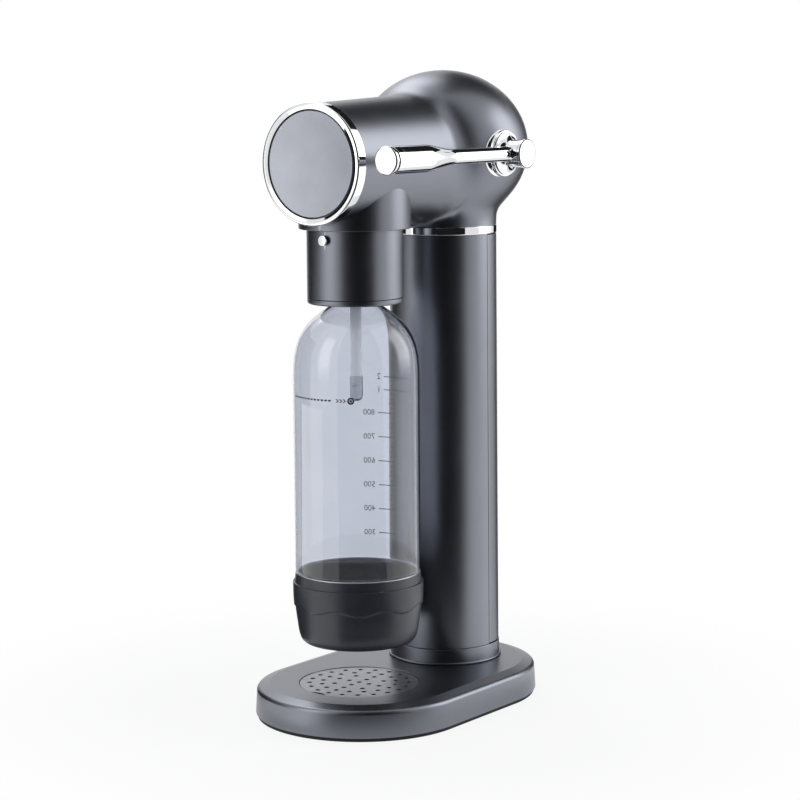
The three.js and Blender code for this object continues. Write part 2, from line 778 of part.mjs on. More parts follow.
// The barrel's front: a bright bezel, a satin disc set into it, and the carrier behind the disc.
const bezelRadius = 41.5;
const bezelRound = 1.9;
const bezelFaceSlope = 0.6;
const discRadius = 36;
const discThickness = 2;
const discRound = 0.5;
const discInset = 0.9;
const bezelSeatWidth = 2.6;
const spigotLength = 8;
const spigotWall = 2.4;
const carrierRib = 2;

function barrelBezel() {
  const discBackY = bezelFrontY + discInset + discThickness;
  const spigotRadius = barrelFrontRadius - headWall - runningGap;
  const bore = discRadius - bezelSeatWidth;
  const face = discRadius + seamGap;
  const roundCentre = bezelRadius - bezelRound;
  return turned([
    [bore, discBackY], [face, discBackY], [face, bezelFrontY + bezelFaceSlope],
    ...arc(roundCentre, bezelFrontY + bezelRound, bezelRound, bezelRound, -90, 0, roundSteps),
    [bezelRadius, barrelFrontY - seamGap], [spigotRadius, barrelFrontY - seamGap],
    [spigotRadius, barrelFrontY + spigotLength], [bore, barrelFrontY + spigotLength],
  ], { axis: 'y', at: [0, 0, barrelAxisZ], steps: broadSteps });
}

function barrelDisc() {
  const frontY = bezelFrontY + discInset;
  const backY = frontY + discThickness;
  return turned([
    [0, frontY], [discRadius - discRound, frontY], [discRadius, frontY + discRound],
    [discRadius, backY], [0, backY],
  ], { axis: 'y', at: [0, 0, barrelAxisZ], steps: broadSteps });
}

function discCarrier() {
  const frontY = bezelFrontY + discInset + discThickness;
  const radius = discRadius - bezelSeatWidth - runningGap;
  const plateY = frontY + carrierRib;
  const backY = barrelFrontY + spigotLength;
  return turned([
    [0, frontY], [radius, frontY], [radius, backY], [radius - spigotWall, backY],
    [radius - spigotWall, plateY], [0, plateY],
  ], { axis: 'y', at: [0, 0, barrelAxisZ], steps: middleSteps });
}

// The saddle is the round skirt under the barrel that the bottle's sleeve goes up into.
const saddleWall = 3.6;
const saddleLip = 0.7;

function spoutSaddle() {
  const skirt = turned([
    [saddleRadius - saddleWall, saddleBottomZ], [saddleRadius - saddleLip, saddleBottomZ],
    [saddleRadius, saddleBottomZ + saddleLip], [saddleRadius, barrelAxisZ],
    [saddleRadius - saddleWall, barrelAxisZ],
  ], { at: [0, bottleAxisY, 0], steps: broadSteps });
  return skirt.subtract(barrel(-runningGap, barrelFrontY - overrun, columnAxisY));
}

// The sleeve round the bottle's neck, in the bottle's own frame: its axis is at x = y = 0.
const sleeveWall = 2.6;
const sleeveTopRise = 7;
const lowerRingHeight = 4.2;
const lowerRingRound = 1.8;
const lowerRingWidth = 4.3;
const lowerRingSpigot = 6;
const webRise = 0.7;
const webThickness = 3;
const nippleRadius = 6.5;
const headScrewReach = 15.5;
const headScrewCount = 3;
const headScrewRadius = 1.5;
const headScrewHead = 2.8;
const headScrewLength = 8;
const buttonDrop = 6.4;
const buttonRadius = 3.75;
const buttonProud = 3.2;
const buttonTravel = 2.5;
const buttonFlangeRadius = 5;
const buttonFlange = 1.2;
const buttonFlangeSet = 0.9;
const buttonStemRadius = 1.6;
const buttonRound = 0.6;
const buttonSpringWire = 0.25;
const buttonSpringTurns = 2.5;
const webBottomZ = saddleBottomZ + webRise;
const webTopZ = webBottomZ + webThickness;
const sleeveInside = sleeveRadius - sleeveWall;
const buttonZ = saddleBottomZ - buttonDrop;

function headScrewPlaces() {
  const places = [];
  for (let i = 0; i < headScrewCount; i += 1) {
    const angle = Math.PI / 2 + (i * 2 * Math.PI) / headScrewCount;
    places.push([headScrewReach * Math.cos(angle), headScrewReach * Math.sin(angle)]);
  }
  return places;
}

function bottleSleeve() {
  const low = sleeveBottomZ + lowerRingHeight;
  const high = saddleBottomZ + sleeveTopRise;
  let sleeve = turned([
    [sleeveInside, low], [sleeveRadius - seamGap, low], [sleeveRadius, low + seamGap],
    [sleeveRadius, high], [sleeveInside, high], [sleeveInside, webTopZ],
    [nippleRadius + runningGap, webTopZ], [nippleRadius + runningGap, webBottomZ],
    [sleeveInside, webBottomZ],
  ], { steps: broadSteps });
  const buttonHole = rod(buttonRadius + runningGap, -sleeveRadius - overrun, -sleeveInside + overrun, {
    axis: 'y', at: [0, 0, buttonZ], steps: smallSteps,
  });
  sleeve = sleeve.subtract(buttonHole);
  for (const [x, y] of headScrewPlaces()) {
    const hole = rod(headScrewRadius + runningGap, webBottomZ - seamGap, webTopZ + overrun, {
      at: [x, y, 0], steps: tinySteps,
    });
    sleeve = sleeve.subtract(hole);
  }
  return sleeve;
}

function sleeveLowerRing() {
  const high = sleeveBottomZ + lowerRingHeight - seamGap;
  const inside = sleeveRadius - lowerRingWidth;
  const spigot = sleeveInside - runningGap;
  const roundRadius = sleeveRadius - lowerRingRound;
  const roundZ = sleeveBottomZ + lowerRingRound;
  return turned([
    [inside, sleeveBottomZ],
    ...arc(roundRadius, roundZ, lowerRingRound, lowerRingRound, -90, 0, roundSteps),
    [sleeveRadius, high], [spigot, high], [spigot, high + lowerRingSpigot],
    [inside, high + lowerRingSpigot],
  ], { steps: broadSteps });
}

// The carbonation head hangs under the sleeve's web and takes the bottle's neck.
const neckOuterRadius = 15.6;
const neckBoreRadius = 12.6;
const neckRingRadius = 18.5;
const neckRingHeight = 2.2;
const neckRingDrop = 25.6;
const threadRingWall = 2.9;
const threadRingHeight = 17;
const headSkirtWall = 3.2;
const blockStep = 1.2;
const sealHeight = 2.4;
const sealBore = 8;
const tubeRadius = 3.9;
const tubeBore = 1.6;
const tubeSocket = 8;
const tubeReach = 80.5;
const nozzleRadius = 4.5;
const nozzleLength = 17.6;
const nozzleSpigot = 8;
const nozzleBore = 0.6;
const nozzleStartDegrees = -75;
const ventRadius = 4.2;
const ventLength = 3.2;
const ventSeat = 2;
const sealTopZ = mouthTopZ + runningGap + sealHeight;
const threadInside = neckOuterRadius + runningGap + seamGap / 2;
const threadOutside = threadInside + threadRingWall;
const skirtInside = threadOutside + runningGap;
const skirtOutside = skirtInside + headSkirtWall;
const skirtBottomZ = mouthTopZ - threadRingHeight - seamGap;
const blockRadius = skirtOutside - blockStep;
const ventFrontY = -blockRadius - ventLength;

function carbonationHead() {
  const recess = threadInside;
  const stepZ = mouthTopZ - seamGap;
  let head = turned([
    [skirtInside, skirtBottomZ], [skirtOutside, skirtBottomZ], [skirtOutside, sealTopZ + headSkirtWall],
    [blockRadius, sealTopZ + 2 * headSkirtWall], [blockRadius, webBottomZ], [nippleRadius, webBottomZ],
    [nippleRadius, webTopZ + nippleRadius / 3], [tubeBore, webTopZ + nippleRadius / 3],
    [tubeBore, sealTopZ + tubeSocket], [tubeRadius + runningGap, sealTopZ + tubeSocket],
    [tubeRadius + runningGap, sealTopZ], [recess, sealTopZ], [recess, stepZ], [skirtInside, stepZ],
  ], { steps: middleSteps });
  head = head.subtract(rod(pipeRadius + runningGap, webTopZ, webTopZ + overrun, { steps: smallSteps }));
  const ventHole = rod(ventRadius + runningGap, -blockRadius - overrun, -blockRadius + ventSeat, {
    axis: 'y', at: [0, 0, buttonZ], steps: smallSteps,
  });
  head = head.subtract(ventHole);
  for (const [x, y] of headScrewPlaces()) {
    const pilot = rod(headScrewRadius + runningGap, webBottomZ - headScrewLength, webBottomZ + seamGap, {
      at: [x, y, 0], steps: tinySteps,
    });
    head = head.subtract(pilot);
  }
  return head;
}

function headScrew([x, y]) {
  const low = webTopZ - headScrewLength;
  const profile = [
    [0, low], [headScrewRadius, low], [headScrewRadius, webTopZ], [headScrewHead, webTopZ],
    [headScrewHead, webTopZ + bracketHeadHeight], [0, webTopZ + bracketHeadHeight],
  ];
  return turned(profile, { at: [x, y, 0], steps: tinySteps });
}

function threadRing() {
  return ring(threadInside, threadOutside, skirtBottomZ, skirtBottomZ + threadRingHeight);
}

function bottleSeal() {
  const low = mouthTopZ + runningGap;
  return ring(sealBore, threadInside - runningGap, low, sealTopZ, { steps: middleSteps });
}

function carbonationTube() {
  const low = sealTopZ - tubeReach;
  return ring(tubeBore, tubeRadius, low, sealTopZ + tubeSocket - runningGap, { steps: smallSteps });
}

function nozzleTip() {
  const high = sealTopZ - tubeReach;
  const low = high - nozzleLength;
  const spigot = tubeBore - runningGap;
  const across = nozzleRadius - nozzleBore;
  return turned([
    [nozzleBore, low],
    ...arc(nozzleBore, low + nozzleRadius, across, nozzleRadius, nozzleStartDegrees, 0, roundSteps),
    [nozzleRadius, high], [spigot, high], [spigot, high + nozzleSpigot], [nozzleBore, high + nozzleSpigot],
  ], { steps: smallSteps });
}

// The pressure release button at the front of the sleeve works a small vent in the head.
function releaseButton() {
  const faceY = -sleeveRadius - buttonProud;
  const flangeY = -sleeveInside + buttonFlangeSet;
  const stemEndY = ventFrontY + ventLength / 2;
  return turned([
    [0, faceY], [buttonRadius - buttonRound, faceY], [buttonRadius, faceY + buttonRound],
    [buttonRadius, flangeY], [buttonFlangeRadius, flangeY], [buttonFlangeRadius, flangeY + buttonFlange],
    [buttonStemRadius, flangeY + buttonFlange], [buttonStemRadius, stemEndY], [0, stemEndY],
  ], { axis: 'y', at: [0, 0, buttonZ], steps: smallSteps });
}

function buttonSpring() {
  return coil({
    radius: buttonStemRadius + runningGap + buttonSpringWire, wireRadius: buttonSpringWire,
    turns: buttonSpringTurns, axis: 'y',
    from: -sleeveInside + buttonFlangeSet + buttonFlange, to: ventFrontY, at: [0, 0, buttonZ],
  });
}

function ventValve() {
  const bore = buttonStemRadius + runningGap;
  const boreEndY = ventFrontY + ventLength / 2 + buttonTravel + runningGap;
  const backY = -blockRadius + ventSeat - runningGap;
  return turned([
    [bore, ventFrontY], [ventRadius, ventFrontY], [ventRadius, backY], [0, backY],
    [0, Math.min(boreEndY, backY - runningGap)], [bore, Math.min(boreEndY, backY - runningGap)],
  ], { axis: 'y', at: [0, 0, buttonZ], steps: smallSteps });
}

// The gas pipe runs from the valve body forward through the barrel and down into the head.
const pipeBendShare = 0.6;
const pipeLeadShare = 0.55;
const pipeFallShare = 0.18;

function gasPipe() {
  const startY = columnAxisY - valveBodyRadius - spoutLength + pipeSocket - runningGap;
  const endZ = webTopZ + runningGap;
  const bend = (pipeZ - endZ) * pipeBendShare;
  const route = new THREE.CatmullRomCurve3([
    new THREE.Vector3(0, startY, pipeZ),
    new THREE.Vector3(0, startY - 2 * pipeSocket, pipeZ),
    new THREE.Vector3(0, bottleAxisY + 2 * bend, pipeZ),
    new THREE.Vector3(0, bottleAxisY + bend * pipeLeadShare, pipeZ - bend * pipeFallShare),
    new THREE.Vector3(0, bottleAxisY, pipeZ - bend),
    new THREE.Vector3(0, bottleAxisY, endZ),
  ]);
  const section = roundOutline(pipeRadius, tinySteps);
  return solidOf(new THREE.ExtrudeGeometry(section, { steps: pipeSteps, extrudePath: route }));
}

// The bottle and its base cup, in the bottle's own frame.
const bottleShoulderDrop = 77.7;
const neckBaseDrop = 27;
const cupRimRise = 49.2;
const cupWall = 1.6;
const cupLedgeRise = 42;
const cupLedgeRadius = 45.4;
const cupBellyRise = 29;
const cupBellyRadius = 45.8;
const cupFootRadius = 35.5;
const cupCornerRadius = 41.2;
const cupCornerRise = 4.4;
const cupRimRadius = 43.8;
const cupFloor = 3;
const cupDomeSteps = 3;
const bottleFootRadius = 41.6;
const bottleDomeRise = 34;
const bottleStep = 1.6;
const shoulderLift = 0.62;
const shoulderPull = 0.62;
const shoulderFall = 0.42;

// The shoulder's run from the straight wall to the neck, as a cubic curve.
function shoulderPoints(inset, steps) {
  const radius = bottleRadius - inset;
  const neck = neckOuterRadius - inset;
  const low = mouthTopZ - bottleShoulderDrop;
  const high = mouthTopZ - neckBaseDrop;
  const run = new THREE.CubicBezierCurve(
    new THREE.Vector2(radius, low),
    new THREE.Vector2(radius, low + (high - low) * shoulderLift),
    new THREE.Vector2(neck + (radius - neck) * shoulderPull, high - (radius - neck) * shoulderFall),
    new THREE.Vector2(neck, high),
  );
  return run.getPoints(steps).map((point) => [point.x, point.y]);
}

// The bottle's outline at a depth under its surface, from the middle of the domed floor upwards.
function bottleOutline(inset, domeSteps, steps) {
  const floorZ = bottleBottomZ + cupFloor + runningGap;
  const rimZ = bottleBottomZ + cupRimRise + seamGap;
  const footRadius = bottleFootRadius - inset;
  const dome = arc(0, floorZ + bottleDomeRise, footRadius, bottleDomeRise - inset, -90, 0, domeSteps);
  return [
    ...dome.map(([r, z], i) => [i === 0 ? 0 : r, z]),
    [footRadius, rimZ], [bottleRadius - inset, rimZ + bottleStep],
    ...shoulderPoints(inset, steps),
  ];
}

function bottleBody() {
  const ringLowZ = mouthTopZ - neckRingDrop;
  const ringTopZ = ringLowZ + neckRingHeight;
  const outside = turned([
    ...bottleOutline(0, bottleDomeSteps, shoulderSteps),
    [neckOuterRadius, ringLowZ], [neckRingRadius, ringLowZ], [neckRingRadius, ringTopZ],
    [neckOuterRadius, ringTopZ], [neckOuterRadius, mouthTopZ], [0, mouthTopZ],
  ], { steps: broadSteps });
  const inside = turned([
    ...bottleOutline(bottleWall, bottleDomeSteps, innerShoulderSteps),
    [neckBoreRadius, mouthTopZ - neckBaseDrop],
    [neckBoreRadius, mouthTopZ + overrun], [0, mouthTopZ + overrun],
  ], { steps: innerSteps });
  return outside.subtract(inside);
}

function bottleBaseCup() {
  const rimZ = bottleBottomZ + cupRimRise;
  const floorZ = bottleBottomZ + cupFloor;
  const bore = bottleFootRadius + runningGap;
  const domeZ = floorZ + runningGap + bottleDomeRise;
  const dome = arc(0, domeZ, bore, bottleDomeRise + runningGap, 0, -90, cupDomeSteps);
  return turned([
    [0, bottleBottomZ], [cupFootRadius, bottleBottomZ],
    [cupFootRadius + cupFloor / 2, bottleBottomZ + cupFloor / 4],
    [cupCornerRadius, bottleBottomZ + cupCornerRise],
    [(cupCornerRadius + 2 * cupBellyRadius) / 3, bottleBottomZ + cupBellyRise / 2],
    [cupBellyRadius, bottleBottomZ + cupBellyRise],
    [cupLedgeRadius, bottleBottomZ + cupLedgeRise],
    [cupRimRadius, rimZ - cupWall], [cupRimRadius - seamGap, rimZ], [bore, rimZ],
    ...dome.map(([r, z], i) => [i === cupDomeSteps ? 0 : r, z]),
  ], { steps: broadSteps });
}

// The lever, in its own frame: its axis is X at y = z = 0, and its arm points to the front.
const rosetteRadius = 16.3;
const rosetteProud = 0.5;
const bushFlangeRadius = 11;
const bushFlangeSet = 3.355;
const bushFlange = 2.2;
const bushLength = 6.6;
const hubLength = 18.1;
const hubRadius = 9.6;
const hubSkirtRadius = 15.2;
const hubSkirtEdge = 0.9;
const hubSkirtLength = 6;
const hubCapRadius = 10.1;
const hubCapLength = 2.6;
const hubCapRound = 0.8;
const armStandOff = 7.6;
const armRadius = 5.3;
const armTaperStart = 79;
const armTaperEnd = 107;
const gripRadius = 9.2;
const gripNeckRadius = 8.7;
const gripCapRadius = 9.7;
const gripCapLength = 11.5;
const gripRingLength = 3;
const gripGroove = 0.5;
const gripCapRound = 0.7;
const gripSpigotRadius = 5;
const gripSpigotLength = 9;
const grubRadius = 2;
const camWorkSteps = 8;
const camBackSteps = 12;
const camFallShare = 0.6;
const rosetteFace = bulbRadius + rosetteProud;
const roomCornerX = (bulbRadius - headWall) * Math.cos((2 * Math.PI) / innerSteps);
const bushFlangeX = roomCornerX - bushFlangeSet;
const hubReach = rosetteFace + hubLength;
const armX = rosetteFace + armStandOff;

// The cam's working face drops the plunger in step with the lever's turn: its reach along the
// downward normal grows steadily with the angle. Behind the nose it falls back to the base circle.
function camOutline() {
  const turn = THREE.MathUtils.degToRad(leverTurnDegrees);
  const rate = plungerTravel / turn;
  const points = [];
  for (let i = 0; i <= camWorkSteps; i += 1) {
    const angle = (turn * i) / camWorkSteps;
    const reach = camBaseRadius + rate * angle;
    const normal = new THREE.Vector2(-Math.sin(angle), -Math.cos(angle));
    const along = new THREE.Vector2(-Math.cos(angle), Math.sin(angle));
    points.push(normal.multiplyScalar(reach).add(along.multiplyScalar(rate)));
  }
  const nose = points[points.length - 1];
  const noseAngle = Math.atan2(nose.y, nose.x);
  const backAngle = -Math.PI / 2 - 2 * Math.PI;
  for (let i = 1; i <= camBackSteps; i += 1) {
    const share = i / camBackSteps;
    const fall = THREE.MathUtils.smoothstep(share, 0, camFallShare);
    const radius = THREE.MathUtils.lerp(nose.length(), camBaseRadius, fall);
    const angle = THREE.MathUtils.lerp(noseAngle, backAngle, share);
    points.push(new THREE.Vector2(radius * Math.cos(angle), radius * Math.sin(angle)));
  }
  return points;
}

function leverCam() {
  // The outline is drawn across Y and Z, and the extrusion runs along X.
  const outline = new THREE.Shape(camOutline());
  const geometry = new THREE.ExtrudeGeometry(outline, { depth: 2 * camHalfWidth, bevelEnabled: false });
  geometry.translate(0, 0, -camHalfWidth);
  geometry.applyMatrix4(new THREE.Matrix4().makeBasis(
    new THREE.Vector3(0, 1, 0), new THREE.Vector3(0, 0, 1), new THREE.Vector3(1, 0, 0),
  ));
  const bore = rod(spindleRadius + runningGap, -camHalfWidth - overrun, camHalfWidth + overrun, {
    axis: 'x', steps: smallSteps,
  });
  return solidOf(geometry).subtract(bore);
}

function leverSpindle() {
  return rod(spindleRadius, -spindleInnerReach, hubReach - hubCapLength - 2 * runningGap - overrun, {
    axis: 'x', steps: smallSteps,
  });
}

function leverBush() {
  const bore = spindleRadius + runningGap;
  const endX = bushFlangeX + bushLength;
  return turned([
    [bore, bushFlangeX], [bushFlangeRadius, bushFlangeX], [bushFlangeRadius, bushFlangeX + bushFlange],
    [bushRadius, bushFlangeX + bushFlange], [bushRadius, endX], [bore, endX],
  ], { axis: 'x', steps: middleSteps });
}

function leverRosette() {
  const disc = ring(spindleRadius + runningGap, rosetteRadius, bulbRadius / 2, rosetteFace, {
    axis: 'x', at: [0, leverAxisY, leverAxisZ], steps: middleSteps,
  });
  return disc.subtract(bulb(-bodyGap, neckBottomZ));
}

function leverHub() {
  const face = rosetteFace + seamGap;
  const skirtTop = face + hubSkirtEdge;
  const flare = arc(
    hubSkirtRadius, skirtTop + hubSkirtLength, hubRadius - hubSkirtRadius, -hubSkirtLength, 90, 0, flareSteps,
  );
  const bore = spindleRadius + runningGap;
  const hub = turned([
    [bore, face], [hubSkirtRadius, face], ...flare,
    [hubRadius, hubReach - hubCapLength - seamGap], [bore, hubReach - hubCapLength - seamGap],
  ], { axis: 'x', steps: middleSteps });
  const armHole = rod(armRadius + runningGap, -hubSkirtRadius - overrun, 0, {
    axis: 'y', at: [armX, 0, 0], steps: middleSteps,
  });
  const grubHole = rod(grubRadius + runningGap, -hubSkirtRadius - overrun, 0, {
    at: [armX, 0, 0], steps: tinySteps,
  });
  return hub.subtract(armHole).subtract(grubHole);
}

function leverHubCap() {
  const low = hubReach - hubCapLength;
  const spigotEnd = low - seamGap - overrun + runningGap;
  const roundCentre = hubCapRadius - hubCapRound;
  return turned([
    [0, spigotEnd], [spindleRadius, spigotEnd], [spindleRadius, low], [hubCapRadius, low],
    ...arc(roundCentre, hubReach - hubCapRound, hubCapRound, hubCapRound, 0, 90, roundSteps),
    [0, hubReach],
  ], { axis: 'x', steps: middleSteps });
}

function hubGrubScrew() {
  const low = -hubRadius + runningGap;
  return rod(grubRadius, low, -spindleRadius - runningGap, { at: [armX, 0, 0], steps: tinySteps });
}

function leverArm() {
  const start = -spindleRadius - runningGap;
  const grooveY = -leverLength + gripCapLength + gripRingLength;
  const endY = -leverLength + gripCapLength + runningGap;
  const taper = new THREE.CubicBezierCurve(
    new THREE.Vector2(armRadius, -armTaperStart),
    new THREE.Vector2(armRadius, -(armTaperStart * 2 + armTaperEnd) / 3),
    new THREE.Vector2(gripRadius, -(armTaperStart + armTaperEnd * 2) / 3),
    new THREE.Vector2(gripRadius, -armTaperEnd),
  ).getPoints(taperSteps).map((point) => [point.x, point.y]);
  const bore = gripSpigotRadius + runningGap;
  return turned([
    [0, start], [armRadius, start], ...taper,
    [gripRadius, grooveY + gripGroove], [gripNeckRadius, grooveY], [gripRadius, grooveY - gripGroove],
    [gripRadius, endY], [bore, endY], [bore, endY + gripSpigotLength + runningGap],
    [0, endY + gripSpigotLength + runningGap],
  ], { axis: 'y', at: [armX, 0, 0], steps: middleSteps });
}

function leverGripCap() {
  const endY = -leverLength + gripCapLength;
  const roundRadius = gripCapRadius - gripCapRound;
  const roundY = -leverLength + gripCapRound;
  return turned([
    [0, -leverLength],
    ...arc(roundRadius, roundY, gripCapRound, gripCapRound, -90, 0, roundSteps),
    [gripCapRadius, endY], [gripSpigotRadius, endY],
    [gripSpigotRadius, endY + gripSpigotLength], [0, endY + gripSpigotLength],
  ], { axis: 'y', at: [armX, 0, 0], steps: middleSteps });
}

// Finishes
const finish = (color, roughness, metalness, extra = {}) => (
  new THREE.MeshStandardMaterial({ color, roughness, metalness, ...extra })
);
const gunmetal = finish('#5b5d62', 0.38, 0.75);
const chrome = finish('#e6e8ea', 0.08, 1);
const satinSilver = finish('#a9adb8', 0.35, 0.6);
const steel = finish('#b9bcc0', 0.3, 1);
const brass = finish('#b8974f', 0.35, 1);
const blackRubber = finish('#17171a', 0.85, 0);
const charcoalPlastic = finish('#34353a', 0.55, 0);
const blackPlastic = finish('#1c1c1f', 0.6, 0);
const whitePlastic = finish('#e9ecef', 0.4, 0);
const clearPlastic = finish('#cfd6e2', 0.06, 0, { transparent: true, opacity: 0.3 });
const cylinderPaint = finish('#8f9499', 0.4, 0.5);

// Assembly
const crease = THREE.MathUtils.degToRad(creaseDegrees);

function addPiece(group, name, solid, material) {
  const { vertProperties, triVerts } = solid.getMesh();
  const geometry = new THREE.BufferGeometry();
  geometry.setAttribute('position', new THREE.BufferAttribute(vertProperties, 3));
  geometry.setIndex(new THREE.BufferAttribute(triVerts, 1));
  const mesh = new THREE.Mesh(toCreasedNormals(geometry, crease), material);
  mesh.name = name;
  group.add(mesh);
}

function groupAt(parent, x, y, z) {
  const group = new THREE.Group();
  group.position.set(x, y, z);
  parent.add(group);
  return group;
}

const model = new THREE.Group();

addPiece(model, 'rubber_foot', rubberFoot(), blackRubber);
addPiece(model, 'base_plate', basePlate(), blackPlastic);
addPiece(model, 'base_housing', baseHousing(), gunmetal);
baseScrewPlaces().forEach((place, i) => addPiece(model, `base_screw_${i + 1}`, baseScrew(place), steel));
addPiece(model, 'head_housing', headHousing(), gunmetal);
addPiece(model, 'barrel_bezel', barrelBezel(), chrome);
addPiece(model, 'barrel_disc', barrelDisc(), satinSilver);
addPiece(model, 'disc_carrier', discCarrier(), blackPlastic);
addPiece(model, 'spout_saddle', spoutSaddle(), gunmetal);
addPiece(model, 'gas_pipe', gasPipe(), blackPlastic);
addPiece(model, 'lever_rosette', leverRosette(), chrome);

const columnGroup = groupAt(model, 0, columnAxisY, 0);
addPiece(columnGroup, 'column_collar', columnCollar(), gunmetal);
addPiece(columnGroup, 'column_front_shell', columnFrontShell(), gunmetal);
addPiece(columnGroup, 'rear_cover', rearCover(), gunmetal);
addPiece(columnGroup, 'column_frame', columnFrame(), steel);
addPiece(columnGroup, 'cylinder_cradle', cylinderCradle(), blackPlastic);
addPiece(columnGroup, 'trim_ring', trimRing(), chrome);
addPiece(columnGroup, 'gas_cylinder', gasCylinder(), cylinderPaint);
addPiece(columnGroup, 'cylinder_valve', cylinderValve(), brass);
addPiece(columnGroup, 'cylinder_pin', cylinderPin(), steel);
addPiece(columnGroup, 'valve_body', valveBody(), brass);
addPiece(columnGroup, 'cylinder_gasket', cylinderGasket(), blackRubber);
addPiece(columnGroup, 'valve_plunger', valvePlunger(), steel);
addPiece(columnGroup, 'plunger_spring', plungerSpring(), steel);
addPiece(columnGroup, 'spindle_bracket', spindleBracket(), steel);
[-1, 1].forEach((side, i) => addPiece(columnGroup, `bracket_screw_${i + 1}`, bracketScrew(side), steel));

const bottleGroup = groupAt(model, 0, bottleAxisY, 0);
addPiece(bottleGroup, 'drip_cup', dripCup(), blackPlastic);
addPiece(bottleGroup, 'drip_grille', dripGrille(), satinSilver);
addPiece(bottleGroup, 'bottle_sleeve', bottleSleeve(), gunmetal);
addPiece(bottleGroup, 'sleeve_lower_ring', sleeveLowerRing(), gunmetal);
addPiece(bottleGroup, 'carbonation_head', carbonationHead(), blackPlastic);
addPiece(bottleGroup, 'thread_ring', threadRing(), whitePlastic);
addPiece(bottleGroup, 'bottle_seal', bottleSeal(), blackRubber);
addPiece(bottleGroup, 'carbonation_tube', carbonationTube(), whitePlastic);
addPiece(bottleGroup, 'nozzle_tip', nozzleTip(), steel);
headScrewPlaces().forEach((place, i) => {
  addPiece(bottleGroup, `head_screw_${i + 1}`, headScrew(place), steel);
});
addPiece(bottleGroup, 'release_button', releaseButton(), chrome);
addPiece(bottleGroup, 'button_spring', buttonSpring(), steel);
addPiece(bottleGroup, 'vent_valve', ventValve(), brass);
addPiece(bottleGroup, 'bottle', bottleBody(), clearPlastic);
addPiece(bottleGroup, 'bottle_base_cup', bottleBaseCup(), charcoalPlastic);

const leverGroup = groupAt(model, 0, leverAxisY, leverAxisZ);
addPiece(leverGroup, 'lever_spindle', leverSpindle(), steel);
addPiece(leverGroup, 'lever_cam', leverCam(), steel);
addPiece(leverGroup, 'lever_bush', leverBush(), whitePlastic);
addPiece(leverGroup, 'lever_hub', leverHub(), chrome);
addPiece(leverGroup, 'lever_hub_cap', leverHubCap(), chrome);
addPiece(leverGroup, 'hub_grub_screw', hubGrubScrew(), steel);
addPiece(leverGroup, 'lever_arm', leverArm(), chrome);
addPiece(leverGroup, 'lever_grip_cap', leverGripCap(), chrome);

export default model;
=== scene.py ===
import bmesh
import bpy
import numpy as np
from math import acos, atan2, cos, degrees, pi, radians, sin, sqrt, tan
from mathutils import Matrix, Vector


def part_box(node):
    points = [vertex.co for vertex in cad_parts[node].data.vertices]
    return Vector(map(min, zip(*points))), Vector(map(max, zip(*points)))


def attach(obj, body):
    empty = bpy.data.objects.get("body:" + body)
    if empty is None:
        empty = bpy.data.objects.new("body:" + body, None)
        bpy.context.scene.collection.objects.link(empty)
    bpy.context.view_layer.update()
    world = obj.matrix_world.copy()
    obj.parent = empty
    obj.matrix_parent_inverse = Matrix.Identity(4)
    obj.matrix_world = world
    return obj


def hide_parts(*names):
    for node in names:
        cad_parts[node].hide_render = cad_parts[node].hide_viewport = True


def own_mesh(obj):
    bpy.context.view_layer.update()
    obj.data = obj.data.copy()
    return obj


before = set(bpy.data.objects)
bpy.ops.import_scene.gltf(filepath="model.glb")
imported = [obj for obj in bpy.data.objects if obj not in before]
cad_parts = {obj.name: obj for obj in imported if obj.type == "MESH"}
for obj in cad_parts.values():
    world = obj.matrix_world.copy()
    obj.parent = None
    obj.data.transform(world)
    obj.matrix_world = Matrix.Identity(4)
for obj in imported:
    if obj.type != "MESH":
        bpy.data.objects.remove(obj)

# Sizes are written in millimetres and brought to metres by mm
mm = 0.001
scene = bpy.context.scene
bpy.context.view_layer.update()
print("stage: frame loaded")

# Axes and levels of the frame
bottleAxisY = -46.1
columnAxisY = 57.9
barrelAxisZ = 389.1
barrelFrontY = -86.1
bulbCentreZ = 396.0
leverAxisY = 47.9
leverAxisZ = 392.9
plateauZ = 23.7
cupBottomZ = 54.5
sleeveZ = 292.2
mouthZ = 319.2
shellTopZ = 335.0
neckZ = 340.8
saddleZ = 343.7
columnAt = (0, columnAxisY, 0)
bottleAt = (0, bottleAxisY, 0)
frontAt = (0, 0, barrelAxisZ)
leverAt = (0, leverAxisY, leverAxisZ)

# each node's slot is the name of the material it was packed with
slotOf = {name: node.material_slots[0].material.name for name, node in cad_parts.items()}


# Paths
def onCircle(radius, angle, x=0, y=0):
    return x + radius * cos(angle), y + radius * sin(angle)


def arcPoints(centreR, centreH, radiusR, radiusH, fromDegrees, toDegrees, steps):
    points = []
    for i in range(steps + 1):
        angle = radians(fromDegrees + (toDegrees - fromDegrees) * i / steps)
        points.append((centreR + radiusR * cos(angle), centreH + radiusH * sin(angle)))
    return points


def bezierPoints(p0, p1, p2, p3, steps):
    points = []
    for i in range(steps + 1):
        t = i / steps
        u = 1 - t
        weights = (u * u * u, 3 * u * u * t, 3 * u * t * t, t * t * t)
        points.append(tuple(sum(w * p[k] for w, p in zip(weights, (p0, p1, p2, p3))) for k in (0, 1)))
    return points


def band(inner, outer, low, high, lowRound=0, highRound=0):
    # a ring's section, with its outer corners rounded
    return [(inner, low), (outer, low, lowRound), (outer, high, highRound), (inner, high)]


